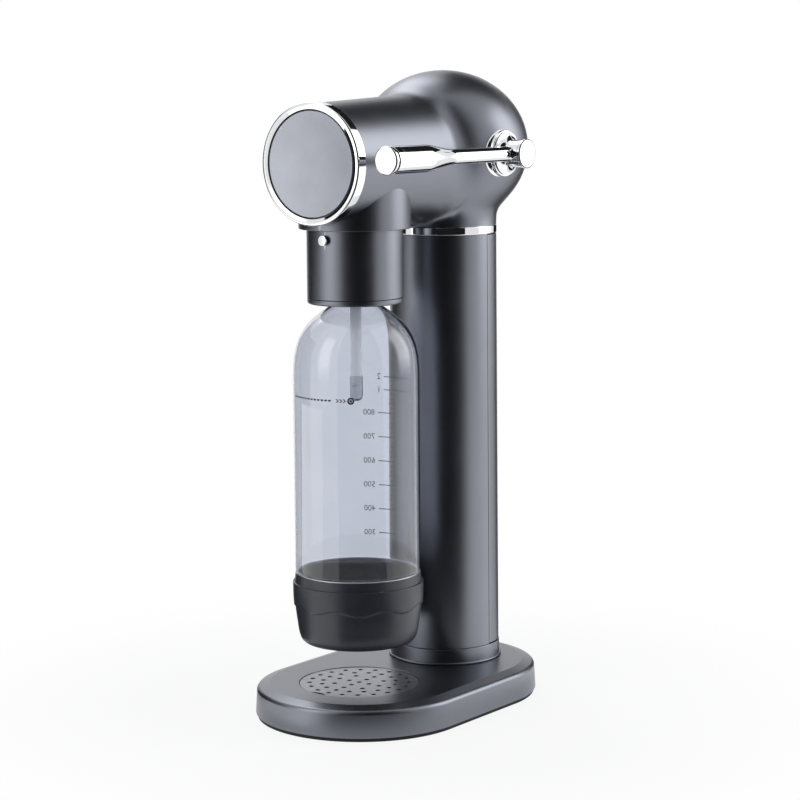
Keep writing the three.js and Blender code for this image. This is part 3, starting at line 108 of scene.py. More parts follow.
def roundedPath(points, closed, steps=5):
    # a third value on a point is the radius that rounds its corner
    path = []
    count = len(points)
    for i, point in enumerate(points):
        here = Vector(point[:2])
        radius = point[2] if len(point) > 2 else 0
        atEnd = not closed and i in (0, count - 1)
        if radius == 0 or atEnd:
            path.append(tuple(here))
            continue
        before = Vector(points[i - 1][:2]) - here
        after = Vector(points[(i + 1) % count][:2]) - here
        half = before.angle(after) / 2
        reach = min(radius / tan(half), before.length * 0.49, after.length * 0.49)
        radius = reach * tan(half)
        middle = (before.normalized() + after.normalized()).normalized()
        centre = here + middle * (radius / sin(half))
        start = here + before.normalized() * reach - centre
        turn = start.angle_signed(here + after.normalized() * reach - centre)
        for step in range(steps + 1):
            path.append(tuple(centre + Matrix.Rotation(-turn * step / steps, 2) @ start))
    return path


# Meshes
def addObject(name, data):
    added = bpy.data.objects.new(name, data)
    scene.collection.objects.link(added)
    return added


def plainMesh(name, verts, faces):
    mesh = bpy.data.meshes.new(name)
    mesh.from_pydata(verts, [], faces)
    return mesh


def builtMesh(name, bm):
    mesh = bpy.data.meshes.new(name)
    bm.to_mesh(mesh)
    bm.free()
    return mesh


def evaluatedMesh(source):
    # with the modifiers applied
    bpy.context.view_layer.update()
    return bpy.data.meshes.new_from_object(source.evaluated_get(bpy.context.evaluated_depsgraph_get()))


def curveMesh(curve):
    # the filled mesh of a curve or a text
    maker = addObject("maker", curve)
    mesh = evaluatedMesh(maker)
    bpy.data.objects.remove(maker)
    return mesh


def gridFaces(rows, count, joinRows=False, joinEnds=True):
    # four-sided faces between each row of points and the next
    faces = []
    for row in range(rows if joinRows else rows - 1):
        low = row * count
        high = (row + 1) % rows * count
        for i in range(count if joinEnds else count - 1):
            j = (i + 1) % count
            faces.append((low + i, low + j, high + j, high + i))
    return faces


def place(axis, r, h, angle, centre):
    # a profile's point, turned round the axis, in metres
    c, s = onCircle(r, angle)
    spot = {"z": (c, s, h), "y": (c, h, s), "x": (h, c, s)}[axis]
    return tuple((a + b) * mm for a, b in zip(spot, centre))


def turnMesh(name, profile, axis="z", centre=(0, 0, 0), steps=96, sweep=(0, 360), shape=None):
    onAxis = abs(profile[0][0]) < 1e-6 and abs(profile[-1][0]) < 1e-6
    path = roundedPath(profile, not onAxis)
    whole = sweep[1] - sweep[0] >= 360
    rings = steps if whole else steps + 1
    verts = []
    for i in range(rings):
        angle = radians(sweep[0] + (sweep[1] - sweep[0]) * i / steps)
        for r, h in path:
            if shape:
                r, h = shape(r, h, angle)
            verts.append(place(axis, r, h, angle, centre))
    count = len(path)
    faces = [(a, d, c, b) for a, b, c, d in gridFaces(rings, count, whole, not onAxis)]
    if not whole:
        faces += [tuple(range(count)), tuple(range(steps * count, rings * count))]
    return plainMesh(name, verts, faces)


# Pieces
def smooth(piece, sharp, weigh=True):
    piece.data.shade_smooth()
    piece.data.set_sharp_from_angle(angle=radians(sharp))
    if weigh:
        weights = piece.modifiers.new("weights", "WEIGHTED_NORMAL")
        weights.keep_sharp = True


def meshPiece(name, mesh, body, slot, replaced=(), look=None, sharp=32, weigh=True):
    # the look is the slot's own finish unless another is named
    bm = bmesh.new()
    bm.from_mesh(mesh)
    bmesh.ops.remove_doubles(bm, verts=bm.verts, dist=0.002 * mm)
    bmesh.ops.dissolve_degenerate(bm, edges=bm.edges, dist=0.0005 * mm)
    bmesh.ops.recalc_face_normals(bm, faces=bm.faces)
    bm.to_mesh(mesh)
    bm.free()
    mesh.materials.append(finishes[look or slot])
    piece = addObject(name, mesh)
    smooth(piece, sharp, weigh)
    if replaced:
        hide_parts(*replaced)
    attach(piece, body)
    return piece


def turnPiece(name, profile, body, slot, replaced=(), look=None, sharp=32, **how):
    return meshPiece(name, turnMesh(name, profile, **how), body, slot, replaced, look, sharp)


def settle(piece):
    # applies the piece's modifiers to its mesh
    mesh = evaluatedMesh(piece)
    piece.modifiers.clear()
    piece.data = mesh


def cutWith(piece, cutterMesh, sharp=32):
    # a boolean that is applied at once, so that no cutter stays behind
    look = piece.data.materials[0]
    cutter = addObject("cutter", cutterMesh)
    piece.modifiers.clear()
    cut = piece.modifiers.new("cut", "BOOLEAN")
    cut.operation = "DIFFERENCE"
    cut.solver = "EXACT"
    cut.object = cutter
    settle(piece)
    bpy.data.objects.remove(cutter)
    piece.data.materials.clear()
    piece.data.materials.append(look)
    smooth(piece, sharp)


# Materials
def tint(hexColour):
    # a written colour, as linear light
    parts = [int(hexColour[i:i + 2], 16) / 255 for i in (1, 3, 5)]
    linear = [p / 12.92 if p <= 0.04045 else ((p + 0.055) / 1.055) ** 2.4 for p in parts]
    return (*linear, 1)


def wire(tree, node, sockets):
    # gives each input a value, or a link from another node's output
    for label, value in sockets.items():
        if isinstance(value, bpy.types.NodeSocket):
            tree.links.new(value, node.inputs[label])
        else:
            node.inputs[label].default_value = value


def addNode(tree, kind, sockets=(), **settings):
    node = tree.nodes.new("ShaderNode" + kind)
    for setting, value in settings.items():
        setattr(node, setting, value)
    wire(tree, node, dict(sockets))
    return node.outputs


def calculate(tree, operation, first, second):
    return addNode(tree, "Math", {0: first, 1: second}, operation=operation)[0]


def mixColours(tree, share, first, second):
    return addNode(tree, "Mix", {0: share, 6: first, 7: second}, data_type="RGBA")[2]


def newGroup(name, inputs, outputs):
    group = bpy.data.node_groups.new(name, "ShaderNodeTree")
    for label, value in inputs.items():
        socket = group.interface.new_socket(name=label, in_out="INPUT", socket_type="NodeSocketFloat")
        socket.default_value = value
    for label in outputs:
        group.interface.new_socket(name=label, in_out="OUTPUT", socket_type="NodeSocketFloat")
    return group, group.nodes.new("NodeGroupInput").outputs, group.nodes.new("NodeGroupOutput")


def grainGroup():
    # fine relief and a slow drift, both in millimetre sizes
    group, given, end = newGroup("surfaceGrain", {"Grain mm": 0.3, "Drift mm": 30}, ["Relief", "Drift"])
    spot = addNode(group, "TexCoord")["Object"]
    for label, output, detail in (("Grain mm", "Relief", 2), ("Drift mm", "Drift", 4)):
        scale = calculate(group, "DIVIDE", 1000, given[label])
        noise = addNode(group, "TexNoise", {"Vector": spot, "Scale": scale, "Detail": detail})
        wire(group, end, {output: noise["Fac"]})
    return group


def wearAndHighlightGroup():
    # where the surface turns a corner, broken up by noise: partly edge wear, partly a painted highlight
    # along the edges
    group, given, end = newGroup("edgeWearAndHighlight", {"Low": 0.52, "High": 0.6}, ["Edge"])
    bend = addNode(group, "NewGeometry")["Pointiness"]
    spread = addNode(group, "MapRange", {"Value": bend, "From Min": given["Low"], "From Max": given["High"]})
    spot = addNode(group, "TexCoord")["Object"]
    noise = addNode(group, "TexNoise", {"Vector": spot, "Scale": 220, "Detail": 4})
    wire(group, end, {"Edge": calculate(group, "MULTIPLY", spread["Result"], noise["Fac"])})
    return group


surfaceGrain = grainGroup()
edgeWearAndHighlight = wearAndHighlightGroup()


def newMaterial(name, plain):
    # plain holds what is the same all over the surface
    material = bpy.data.materials.new(name)
    material.use_nodes = True
    shader = material.node_tree.nodes["Principled BSDF"]
    wire(material.node_tree, shader, plain)
    return material, material.node_tree, shader


def addSkin(tree, shader, dark, light, relief, grain, drift, depth):
    # a fine relief, and two shades that drift into each other
    texture = addNode(tree, "Group", {"Grain mm": grain, "Drift mm": drift}, node_tree=surfaceGrain)
    bump = addNode(tree, "Bump", {"Strength": relief, "Distance": depth, "Height": texture["Relief"]})
    wire(tree, shader, {"Normal": bump["Normal"]})
    return texture["Drift"], mixColours(tree, texture["Drift"], tint(dark), tint(light))


usualWearAndHighlightBend = (0.52, 0.6)


def finish(name, metal, dark, light, edge, rough, relief, grain, drift, wearAndHighlightBend=usualWearAndHighlightBend, plain=()):
    material, tree, shader = newMaterial(name, {"Metallic": metal, **dict(plain)})
    share, colour = addSkin(tree, shader, dark, light, relief, grain, drift, grain * mm * 0.5)
    # the edge colour is partly wear and partly a painted highlight along the edges
    wornAndLitEdge = addNode(tree, "Group", {"Low": wearAndHighlightBend[0], "High": wearAndHighlightBend[1]}, node_tree=edgeWearAndHighlight)["Edge"]
    roughness = addNode(tree, "MapRange", {"Value": share, "To Min": rough[0], "To Max": rough[1]})["Result"]
    wire(tree, shader, {"Base Color": mixColours(tree, wornAndLitEdge, colour, tint(edge)), "Roughness": roughness})
    return material


# Metal, the colours of the dark and light drift and of edges (wear and painted highlight), roughness,
# relief,
#  grain and drift in mm. Then, where they differ, the bend at which that edge colour starts and is full, and
#  more of the shader's inputs.
looks = {
    # gunmetal and charcoal plastic have edge colours far lighter than their own: painted highlights on their
    # edges
    "gunmetal": (1, "#72757c", "#7a7d85", "#b9bbc1", (0.32, 0.37), 0.02, 0.25, 25, (0.56, 0.66)),
    "chrome": (1, "#d9dadc", "#e6e7e9", "#f2f2f3", (0.03, 0.07), 0.01, 0.8, 20),
    "satin_silver": (0.85, "#8e9199", "#9fa2aa", "#bcbec4", (0.27, 0.33), 0.08, 0.2, 18),
    "grille_grey": (0.85, "#777a83", "#989ba4", "#b4b6bd", (0.24, 0.34), 0.35, 0.6, 1.6),
    "steel": (1, "#a9acb0", "#c3c5c8", "#d6d8da", (0.18, 0.3), 0.05, 0.4, 12),
    "bright_steel": (1, "#b4b7bc", "#c8cbd0", "#dcdee1", (0.05, 0.1), 0.03, 0.4, 8),
    # the light silver of the band that paints the highlight at the cup's lip
    "lip_highlight_silver": (0.6, "#a9abb1", "#c3c5ca", "#dcdde0", (0.2, 0.3), 0.03, 0.3, 6),
    "ring_grey": (0, "#55575c", "#64666b", "#7d7f83", (0.5, 0.6), 0.05, 0.3, 10),
    "brass": (1, "#a98a45", "#c3a35a", "#d8bb78", (0.25, 0.4), 0.06, 0.5, 9),
    "cylinder_paint": (0.4, "#83888d", "#949a9f", "#b4b8bb", (0.35, 0.5), 0.12, 0.4, 16),
    "black_rubber": (0, "#121214", "#1b1b1e", "#2a2a2d", (0.75, 0.9), 0.4, 0.4, 10),
    "charcoal_plastic": (0, "#272a32", "#2f323b", "#74767e", (0.3, 0.37), 0.03, 0.3, 14, (0.53, 0.58)),
    "black_plastic": (0, "#18181a", "#212124", "#303034", (0.45, 0.6), 0.2, 0.35, 12),
    "drip_black": (0, "#0a0a0b", "#101012", "#1a1a1c", (0.8, 0.95), 0.1, 0.35, 12, usualWearAndHighlightBend,
                   {"Specular IOR Level": 0.15}),
    "ink": (0, "#08090b", "#0e0f12", "#131418", (0.85, 0.95), 0.05, 0.2, 4, usualWearAndHighlightBend,
            {"Specular IOR Level": 0.1}),
    "white_plastic": (0, "#dfe2e5", "#eceef0", "#f2f3f4", (0.3, 0.42), 0.06, 0.3, 15),
    "milky_plastic": (0, "#f7f8fa", "#fcfcfd", "#fcfcfd", (0.25, 0.35), 0.03, 0.3, 15, usualWearAndHighlightBend,
                      {"Transmission Weight": 0.1, "IOR": 1.35}),
}
finishes = {name: finish(name + "_finish", *look) for name, look in looks.items()}
clearLook = dict(
    plain={"Metallic": 0, "Roughness": 0.02, "IOR": 1.5, "Transmission Weight": 1}, shade="#f8f9fb",
    skin=dict(dark="#d8dbe3", light="#e3e6ed", relief=0.04, grain=22, drift=40, depth=0.1 * mm),
)


def clearFinish(name, look):
    # moulded clear plastic: plain transmission, with a faint flow in its surface
    material, tree, shader = newMaterial(name, look["plain"])
    wire(tree, shader, {"Base Color": addSkin(tree, shader, **look["skin"])[1]})
    # the lamps shine through it onto what is inside
    inShadow = addNode(tree, "LightPath")["Is Shadow Ray"]
    through = addNode(tree, "BsdfTransparent", {"Color": tint(look["shade"])})
    both = addNode(tree, "MixShader", {0: inShadow, 1: shader.outputs[0], 2: through[0]})
    wire(tree, tree.nodes["Material Output"], {"Surface": both[0]})
    return material


finishes["clear_plastic"] = clearFinish("clear_plastic_finish", clearLook)
for nodeName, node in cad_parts.items():
    for holder in node.material_slots:
        holder.material = finishes[slotOf[nodeName]]
print("stage: finishes made")

# The base: a long foot plate with a bevelled plateau, a drip well and the column's seat
base = dict(
    halfWidth=76.3, arcY=41.0, arcSteps=56, bottomZ=2.6, draft=0.9, edgeRadius=3.4, bevelDegrees=16.5,
    bevelRise=1.9, soft=0.5, wall=2.5, lip=0.4, wellRadius=42.4, wellSteps=128, ledge=3.2,
    columnHole=36.4, columnSteps=96, notchDegrees=264, notchRadius=11, notchBite=3.2,
)


def stadium(inset, z):
    # the base's outline, brought in by the inset
    ring = []
    radius = base["halfWidth"] - inset
    for y, start in ((base["arcY"], 0), (-base["arcY"], 180)):
        half = arcPoints(0, y, radius, radius, start, start + 180, base["arcSteps"])
        ring += [(*spot, z) for spot in half]
    return ring


def bridge(bm, low, high):
    count = len(low)
    for i in range(count):
        j = (i + 1) % count
        bm.faces.new((low[i], low[j], high[j], high[i]))


def addRings(bm, rings):
    # rings of points, each bridged to the next
    loops = [[bm.verts.new([v * mm for v in point]) for point in ring] for ring in rings]
    for low, high in zip(loops, loops[1:]):
        bridge(bm, low, high)
    return loops


def fillBetween(bm, loops):
    edges = []
    for loop in loops:
        for i, vert in enumerate(loop):
            other = loop[(i + 1) % len(loop)]
            edges.append(bm.edges.get((vert, other)) or bm.edges.new((vert, other)))
    bmesh.ops.triangle_fill(bm, use_beauty=True, use_dissolve=False, edges=edges)


def baseMesh():
    soft, lip, wall = base["soft"], base["lip"], base["wall"]
    bottomZ, edgeRadius = base["bottomZ"], base["edgeRadius"]
    slope = tan(radians(base["bevelDegrees"]))
    levels = [(soft, bottomZ), (soft * 0.3, bottomZ + soft * 0.3), (0, bottomZ + soft)]
    levels += arcPoints(base["draft"] + edgeRadius, plateauZ - base["bevelRise"] - edgeRadius,
                        -edgeRadius, edgeRadius, 0, 90 - base["bevelDegrees"], 10)
    slopeInset, slopeZ = levels[-1]
    bevelTop = slopeInset + (plateauZ - slopeZ) / slope
    levels += [(bevelTop - soft, plateauZ - soft * slope), (bevelTop - soft * 0.3, plateauZ - soft * 0.12),
               (bevelTop + soft * 0.4, plateauZ)]
    bm = bmesh.new()
    outside = addRings(bm, [stadium(inset, z) for inset, z in levels])
    # the two holes go right through the shell's roof, each with a softened lip
    roofZ = plateauZ - wall
    holes = []
    for y, radius, steps in ((bottleAxisY, base["wellRadius"], base["wellSteps"]),
                             (columnAxisY, base["columnHole"], base["columnSteps"])):
        side = [(radius + lip, plateauZ), (radius + lip * 0.3, plateauZ - lip * 0.3),
                (radius, plateauZ - lip), (radius, roofZ)]
        holes.append(addRings(bm, [
            [(*onCircle(r, 2 * pi * i / steps, 0, y), z) for i in range(steps)] for r, z in side
        ]))
    fillBetween(bm, [outside[-1], holes[0][0], holes[1][0]])
    inside = addRings(bm, [stadium(wall, bottomZ), stadium(wall, roofZ)])
    bridge(bm, outside[0], inside[0])
    fillBetween(bm, [inside[1], holes[0][-1], holes[1][-1]])
    return builtMesh("base_shell", bm)


meshPiece("base_shell", baseMesh(), "stand", "gunmetal", ["base_housing"], sharp=30)

# The drip cup stands on the bottom plate and fills the well; its finger room lies under the notch
dripCup = dict(
    radius=44.6, wall=2.2, standZ=4.8, shoulderZ=21.2, rimZ=22.1, floorZ=12.2, underZ=10.0,
    rimGap=0.3, fingerReach=49.8, fingerTopZ=24, fingerSteps=40,
)
cupRim = base["wellRadius"] - dripCup["rimGap"]


def fingerRoom():
    # the part of the notch's round that lies inside the cup's rim
    bite, reach, steps = base["notchRadius"], dripCup["fingerReach"], dripCup["fingerSteps"]
    half = acos((cupRim * cupRim + reach * reach - bite * bite) / (2 * cupRim * reach))
    swing = acos((bite * bite + reach * reach - cupRim * cupRim) / (2 * bite * reach))
    spots = [onCircle(cupRim, half * (2 * i / steps - 1)) for i in range(steps + 1)]
    spots += [onCircle(bite, pi + swing * (2 * i / steps - 1), reach) for i in range(1, steps)]
    turn = Matrix.Rotation(radians(base["notchDegrees"]), 2)
    outline = [turn @ Vector(spot) for spot in spots]
    bm = bmesh.new()
    heights = (dripCup["floorZ"], dripCup["fingerTopZ"])
    for loop in addRings(bm, [[(x, y + bottleAxisY, z) for x, y in outline] for z in heights]):
        bm.faces.new(loop)
    bmesh.ops.recalc_face_normals(bm, faces=bm.faces)
    return builtMesh("finger_room", bm)


cupOut = dripCup["radius"]
cupIn = cupOut - dripCup["wall"]
wellIn = base["wellRadius"] - base["ledge"]
dripBody = turnPiece("drip_body", [
    (0, dripCup["underZ"]), (cupIn, dripCup["underZ"], 1.5), (cupIn, dripCup["standZ"]),
    (cupOut, dripCup["standZ"], 0.3), (cupOut, dripCup["shoulderZ"], 0.3), (cupRim, dripCup["shoulderZ"]),
    (cupRim, dripCup["rimZ"], 0.2), (wellIn, dripCup["rimZ"], 0.3), (wellIn, dripCup["floorZ"], 1.6),
    (0, dripCup["floorZ"]),
], "stand", "black_plastic", ["drip_cup"], "drip_black", centre=bottleAt, steps=128)
cutWith(dripBody, fingerRoom())

foot = dict(inset=1.3, width=8, height=2.6, round=0.4)


def footMesh():
    outer, height, soft = foot["inset"], foot["height"], foot["round"]
    inner = outer + foot["width"]
    levels = [(inner, height), (outer, height), (outer, soft), (outer + soft * 0.3, soft * 0.3),
              (outer + soft, 0), (inner - soft, 0), (inner, soft)]
    bm = bmesh.new()
    rings = addRings(bm, [stadium(inset, z) for inset, z in levels])
    bridge(bm, rings[-1], rings[0])
    return builtMesh("foot_band", bm)


meshPiece("foot_band", footMesh(), "stand", "black_rubber", ["rubber_foot"])

# The drip grille: rings of drilled holes and a finger notch
grille = dict(
    gap=0.4, drop=0.4, thickness=1.2, edge=0.08, outlineSteps=480,
    ringPitch=8.75, ringHoles=(4, 8, 16, 20), holeRadius=1.85, holeSteps=24,
)


def grilleMesh():
    radius, bite = base["wellRadius"] - grille["gap"], base["notchRadius"]
    notch = Vector(onCircle(radius + bite - base["notchBite"], radians(base["notchDegrees"])))
    outline = []
    for i in range(grille["outlineSteps"]):
        spot = Vector(onCircle(radius, 2 * pi * i / grille["outlineSteps"]))
        if (spot - notch).length < bite:
            # slide the point in along its spoke to the notch's round
            spoke = spot.normalized()
            along = notch.dot(spoke)
            across = notch.length_squared - along * along
            spot = spoke * (along - sqrt(max(bite ** 2 - across, 0)))
        outline.append(spot)
    holes = [(0, 0)]
    for ring, count in enumerate(grille["ringHoles"], 1):
        holes += [onCircle(grille["ringPitch"] * ring, 2 * pi * i / count) for i in range(count)]
    curve = bpy.data.curves.new("grille", "CURVE")
    curve.dimensions = "2D"
    curve.fill_mode = "BOTH"
    turns = [2 * pi * i / grille["holeSteps"] for i in range(grille["holeSteps"])]
    drilled = [[onCircle(grille["holeRadius"], turn, *hole) for turn in turns] for hole in holes]
    for loop in [outline] + drilled:
        spline = curve.splines.new("POLY")
        spline.points.add(len(loop) - 1)
        for point, (x, y) in zip(spline.points, loop):
            point.co = (x * mm, y * mm, 0, 1)
        spline.use_cyclic_u = True
    thickness, edge = grille["thickness"], grille["edge"]
    curve.extrude = (thickness / 2 - edge) * mm
    curve.bevel_depth = edge * mm
    curve.bevel_resolution = 2
    curve.offset = -edge * mm
    mesh = curveMesh(curve)
    middle = Vector((0, bottleAxisY, plateauZ - grille["drop"] - thickness / 2))
    mesh.transform(Matrix.Translation(middle * mm))
    mesh.name = "grille_plate"
    return mesh


meshPiece("grille_plate", grilleMesh(), "grille", "grille_grey", ["drip_grille"], sharp=40)
print("stage: base made")

# The column
column = dict(
    collarBottom=41.4, collarTop=40, collarLip=0.9, lipStep=0.25, collarTopZ=35.3, seatGap=0.02,
    shellBottom=39.6, shellTop=38.5, wall=2.2, seam=0.55, coverGap=0.6,
    trimRadius=38.9, trimWall=3.2, trimRound=0.7,
)
onColumn = dict(centre=columnAt, steps=128)
collarLip = column["collarLip"]
collarOut = column["collarBottom"] - collarLip
seatZ = plateauZ + column["seatGap"]
collarTopZ = column["collarTopZ"]
turnPiece("collar", [
    (base["columnHole"], seatZ), (collarOut, seatZ),
    *arcPoints(collarOut, plateauZ + collarLip, collarLip, collarLip, -70, 78, 14),
    (collarOut - column["lipStep"], plateauZ + 2 * collarLip, 0.15),
    (column["collarTop"], collarTopZ, 0.6), (base["columnHole"], collarTopZ),
], "stand", "gunmetal", ["column_collar"], **onColumn)


def shellRadius(z):
    share = (z - collarTopZ) / (shellTopZ - collarTopZ)
    return column["shellBottom"] + (column["shellTop"] - column["shellBottom"]) * share


def shellProfile(gap):
    # the shell's section, short of collar and neck ring by the gap
    low, high, wall = collarTopZ + gap, shellTopZ - gap, column["wall"]
    return [(shellRadius(low) - wall, low), (shellRadius(low), low, 0.5),
            (shellRadius(high), high, 0.25), (shellRadius(high) - wall, high)]


# the front half has its edges on the middle plane, the rear half starts after the seam
seamDegrees = degrees(column["seam"] / column["shellBottom"])
turnPiece("front_shell", shellProfile(0), "stand", "gunmetal", ["column_front_shell"],
          centre=columnAt, sweep=(180, 360))
turnPiece("rear_shell", shellProfile(column["coverGap"]), "rear_cover", "gunmetal", ["rear_cover"],
          centre=columnAt, sweep=(seamDegrees, 180 - seamDegrees))
trim, trimRound = column["trimRadius"], column["trimRound"]
turnPiece("neck_ring", band(trim - column["trimWall"], trim, shellTopZ, neckZ, trimRound, trimRound),
          "stand", "chrome", ["trim_ring"], **onColumn)
print("stage: column made")

# The head: a bulb over the column that flows into the barrel, as one skin
head = dict(
    bulbRadius=61.4, bulbHalfHeight=55.06, neckRadius=38.5, flankDegrees=38, neckFillet=14,
    barrelFront=40.7, barrelRear=45.4, axisSpacing=104, barrelTail=30, blend=5.5,
    wall=3, around=144, dip=14, sleeveHole=33.6, spindleHole=9, spindleFrom=30, spindleTo=66.4,
    frontRows=(barrelFrontY, barrelFrontY + 2, 3), barrelRows=(-78, 4, 36),
    lowTilts=(-47.5, -36, 16), highTilts=(-35, 88, 84), farReach=130.0, halvings=24,
    poleFrom=40.0, poleStep=0.02,
)


def bulbOutline(bottomZ):
    # half the bulb's section: a dome, a straight flank and a fillet into the neck
    radius, height, fillet, neck = (
        head["bulbRadius"], head["bulbHalfHeight"], head["neckFillet"], head["neckRadius"])
    dome = arcPoints(0, bulbCentreZ, radius, height, 90, -head["flankDegrees"], 90)
    flank = radians(head["flankDegrees"])
    lean = atan2(radius * sin(flank), height * cos(flank))
    flankRadius, flankZ = dome[-1]
    filletTopZ = flankZ - (flankRadius - neck - fillet * (1 - cos(lean))) / tan(lean)
    curve = arcPoints(neck + fillet, filletTopZ - fillet * sin(lean), -fillet, fillet, degrees(lean), 0, 16)
    return np.array(dome + curve + [(neck, bottomZ), (0, bottomZ)])


def outlineDistance(outline, r, z):
    # signed distance to the outline, negative inside; the outline runs from the top down to the axis
    best = np.full(r.shape, 1e9)
    inside = np.zeros(r.shape, bool)
    for (r0, z0), (r1, z1) in zip(outline, outline[1:]):
        dr = r1 - r0
        dz = z1 - z0
        t = np.clip(((r - r0) * dr + (z - z0) * dz) / (dr * dr + dz * dz), 0, 1)
        best = np.minimum(best, np.hypot(r - r0 - t * dr, z - z0 - t * dz))
        crosses = (z0 > z) != (z1 > z)
        side = r0 + (z - z0) * dr / dz if dz else np.zeros(r.shape)
        inside ^= crosses & (r < side)
    return np.where(inside, -best, best)


def barrelRadius(y):
    growth = (head["barrelRear"] - head["barrelFront"]) / head["axisSpacing"]
    return head["barrelFront"] + growth * (y - barrelFrontY)


def headDistance(points, outline):
    x, y, z = points[..., 0], points[..., 1], points[..., 2]
    bulb = outlineDistance(outline, np.hypot(x, y - columnAxisY), z)
    barrel = np.hypot(x, z - barrelAxisZ) - barrelRadius(y)
    barrel = np.maximum(barrel, y - (columnAxisY - head["barrelTail"]))
    k = head["blend"]
    h = np.clip(k - np.abs(bulb - barrel), 0, None) / k
    return np.minimum(bulb, barrel) - h * h * k / 4


def headMesh():
    # spokes from the barrel's axis, then from one point in the bulb, are halved until they meet the skin
    outline = bulbOutline(neckZ - head["dip"])
    around = head["around"]
    turn = np.arange(around) * 2 * pi / around
    across = np.stack([np.cos(turn), np.zeros(around), np.sin(turn)], 1)
    forward = np.array([0.0, 1.0, 0.0])
    rows = [(y, across) for y in [*np.linspace(*head["frontRows"]), *np.linspace(*head["barrelRows"])]]
    for tilt in [*np.linspace(*head["lowTilts"]), *np.linspace(*head["highTilts"])]:
        rows.append((columnAxisY, cos(radians(tilt)) * across + sin(radians(tilt)) * forward))
    origins = np.array([[0.0, y, barrelAxisZ] for y, spokes in rows])[:, None, :]
    spokes = np.stack([row[1] for row in rows])
    low = np.zeros(spokes.shape[:2])
    high = np.full(spokes.shape[:2], head["farReach"])
    for _ in range(head["halvings"]):
        middle = (low + high) / 2
        within = headDistance(origins + spokes * middle[..., None], outline) < 0
        low = np.where(within, middle, low)
        high = np.where(within, high, middle)
    found = origins + spokes * ((low + high) / 2)[..., None]
    # the pole closes the last row
    origin = np.array([0.0, columnAxisY, barrelAxisZ])
    reach = head["poleFrom"]
    while headDistance((origin + forward * reach)[None, :], outline)[0] < 0:
        reach += head["poleStep"]
    verts = np.vstack([found.reshape(-1, 3), origin + forward * reach]) * mm
    pole = len(verts) - 1
    last = pole - around
    faces = gridFaces(len(rows), around) + [(last + i, last + (i + 1) % around, pole) for i in range(around)]
    bm = bmesh.new()
    bm.from_mesh(plainMesh("head_spokes", verts.tolist(), faces))
    bmesh.ops.bisect_plane(bm, geom=bm.verts[:] + bm.edges[:] + bm.faces[:], clear_outer=True,
                           plane_co=Vector((0, 0, neckZ)) * mm, plane_no=(0, 0, -1))
    bmesh.ops.recalc_face_normals(bm, faces=bm.faces)
    return builtMesh("head_skin", bm)


headSkin = meshPiece("head_skin", headMesh(), "stand", "gunmetal", ["head_housing"], sharp=40, weigh=False)
thick = headSkin.modifiers.new("wall", "SOLIDIFY")
thick.thickness = head["wall"] * mm
thick.offset = -1
settle(headSkin)
sleeveHole = band(0, head["sleeveHole"], sleeveZ, barrelAxisZ)
cutWith(headSkin, turnMesh("sleeve_hole", sleeveHole, centre=bottleAt, steps=144), sharp=40)
spindleHole = band(0, head["spindleHole"], head["spindleFrom"], head["spindleTo"])
cutWith(headSkin, turnMesh("spindle_hole", spindleHole, axis="x", centre=leverAt, steps=64), sharp=40)
headSkin.modifiers.clear()
print("stage: head made")

# The barrel's front: bright bezel and satin disc
front = dict(
    bezelRadius=41.5, bezelY=-94.9, round=1.9, seam=0.4, spigot=8, spigotRadius=37.4, lipRadius=36.75,
    lipStep=0.7, faceIn=0.6, faceStep=0.2, discRadius=36, discY=-94.0, discDepth=2, seat=2.6,
    dish=1.1, dishRows=24, rim=1, bevel=0.55, gasketY=-93.7, gasketGap=0.02, gasketBack=0.1,
)
onBarrel = dict(axis="y", centre=frontAt, steps=160)
disc, discY, discBackY = front["discRadius"], front["discY"], front["discY"] + front["discDepth"]
bezel, bezelY, bezelLip = front["bezelRadius"], front["bezelY"], front["lipRadius"]
seat, spigot, bezelRound = disc - front["seat"], front["spigotRadius"], front["round"]
jointY, spigotY = barrelFrontY - front["seam"], barrelFrontY + front["spigot"]
turnPiece("front_bezel", [
    (seat, discBackY), (bezelLip, discBackY), (bezelLip, bezelY + front["lipStep"], 0.2),
    (bezel - bezelRound - front["faceIn"], bezelY, 0.5), (bezel, bezelY + front["faceStep"], bezelRound),
    (bezel, jointY, 0.3), (spigot, jointY), (spigot, spigotY), (seat, spigotY),
], "stand", "chrome", ["barrel_bezel"], **onBarrel)
dished = disc - front["rim"]
discRows = [dished * i / front["dishRows"] for i in range(front["dishRows"] + 1)]
turnPiece("front_disc", [
    *[(r, discY + front["dish"] * (1 - (r / dished) ** 2)) for r in discRows],
    (disc - front["bevel"], discY, 0.1), (disc, discY + front["bevel"], 0.1),
    (disc, discBackY), (0, discBackY),
], "stand", "satin_silver", ["barrel_disc"], **onBarrel)
# a black gasket fills the joint round the disc
gap = front["gasketGap"]
turnPiece("disc_gasket", band(disc + gap, bezelLip - gap, front["gasketY"], discBackY - front["gasketBack"]),
          "stand", "black_rubber", **onBarrel)

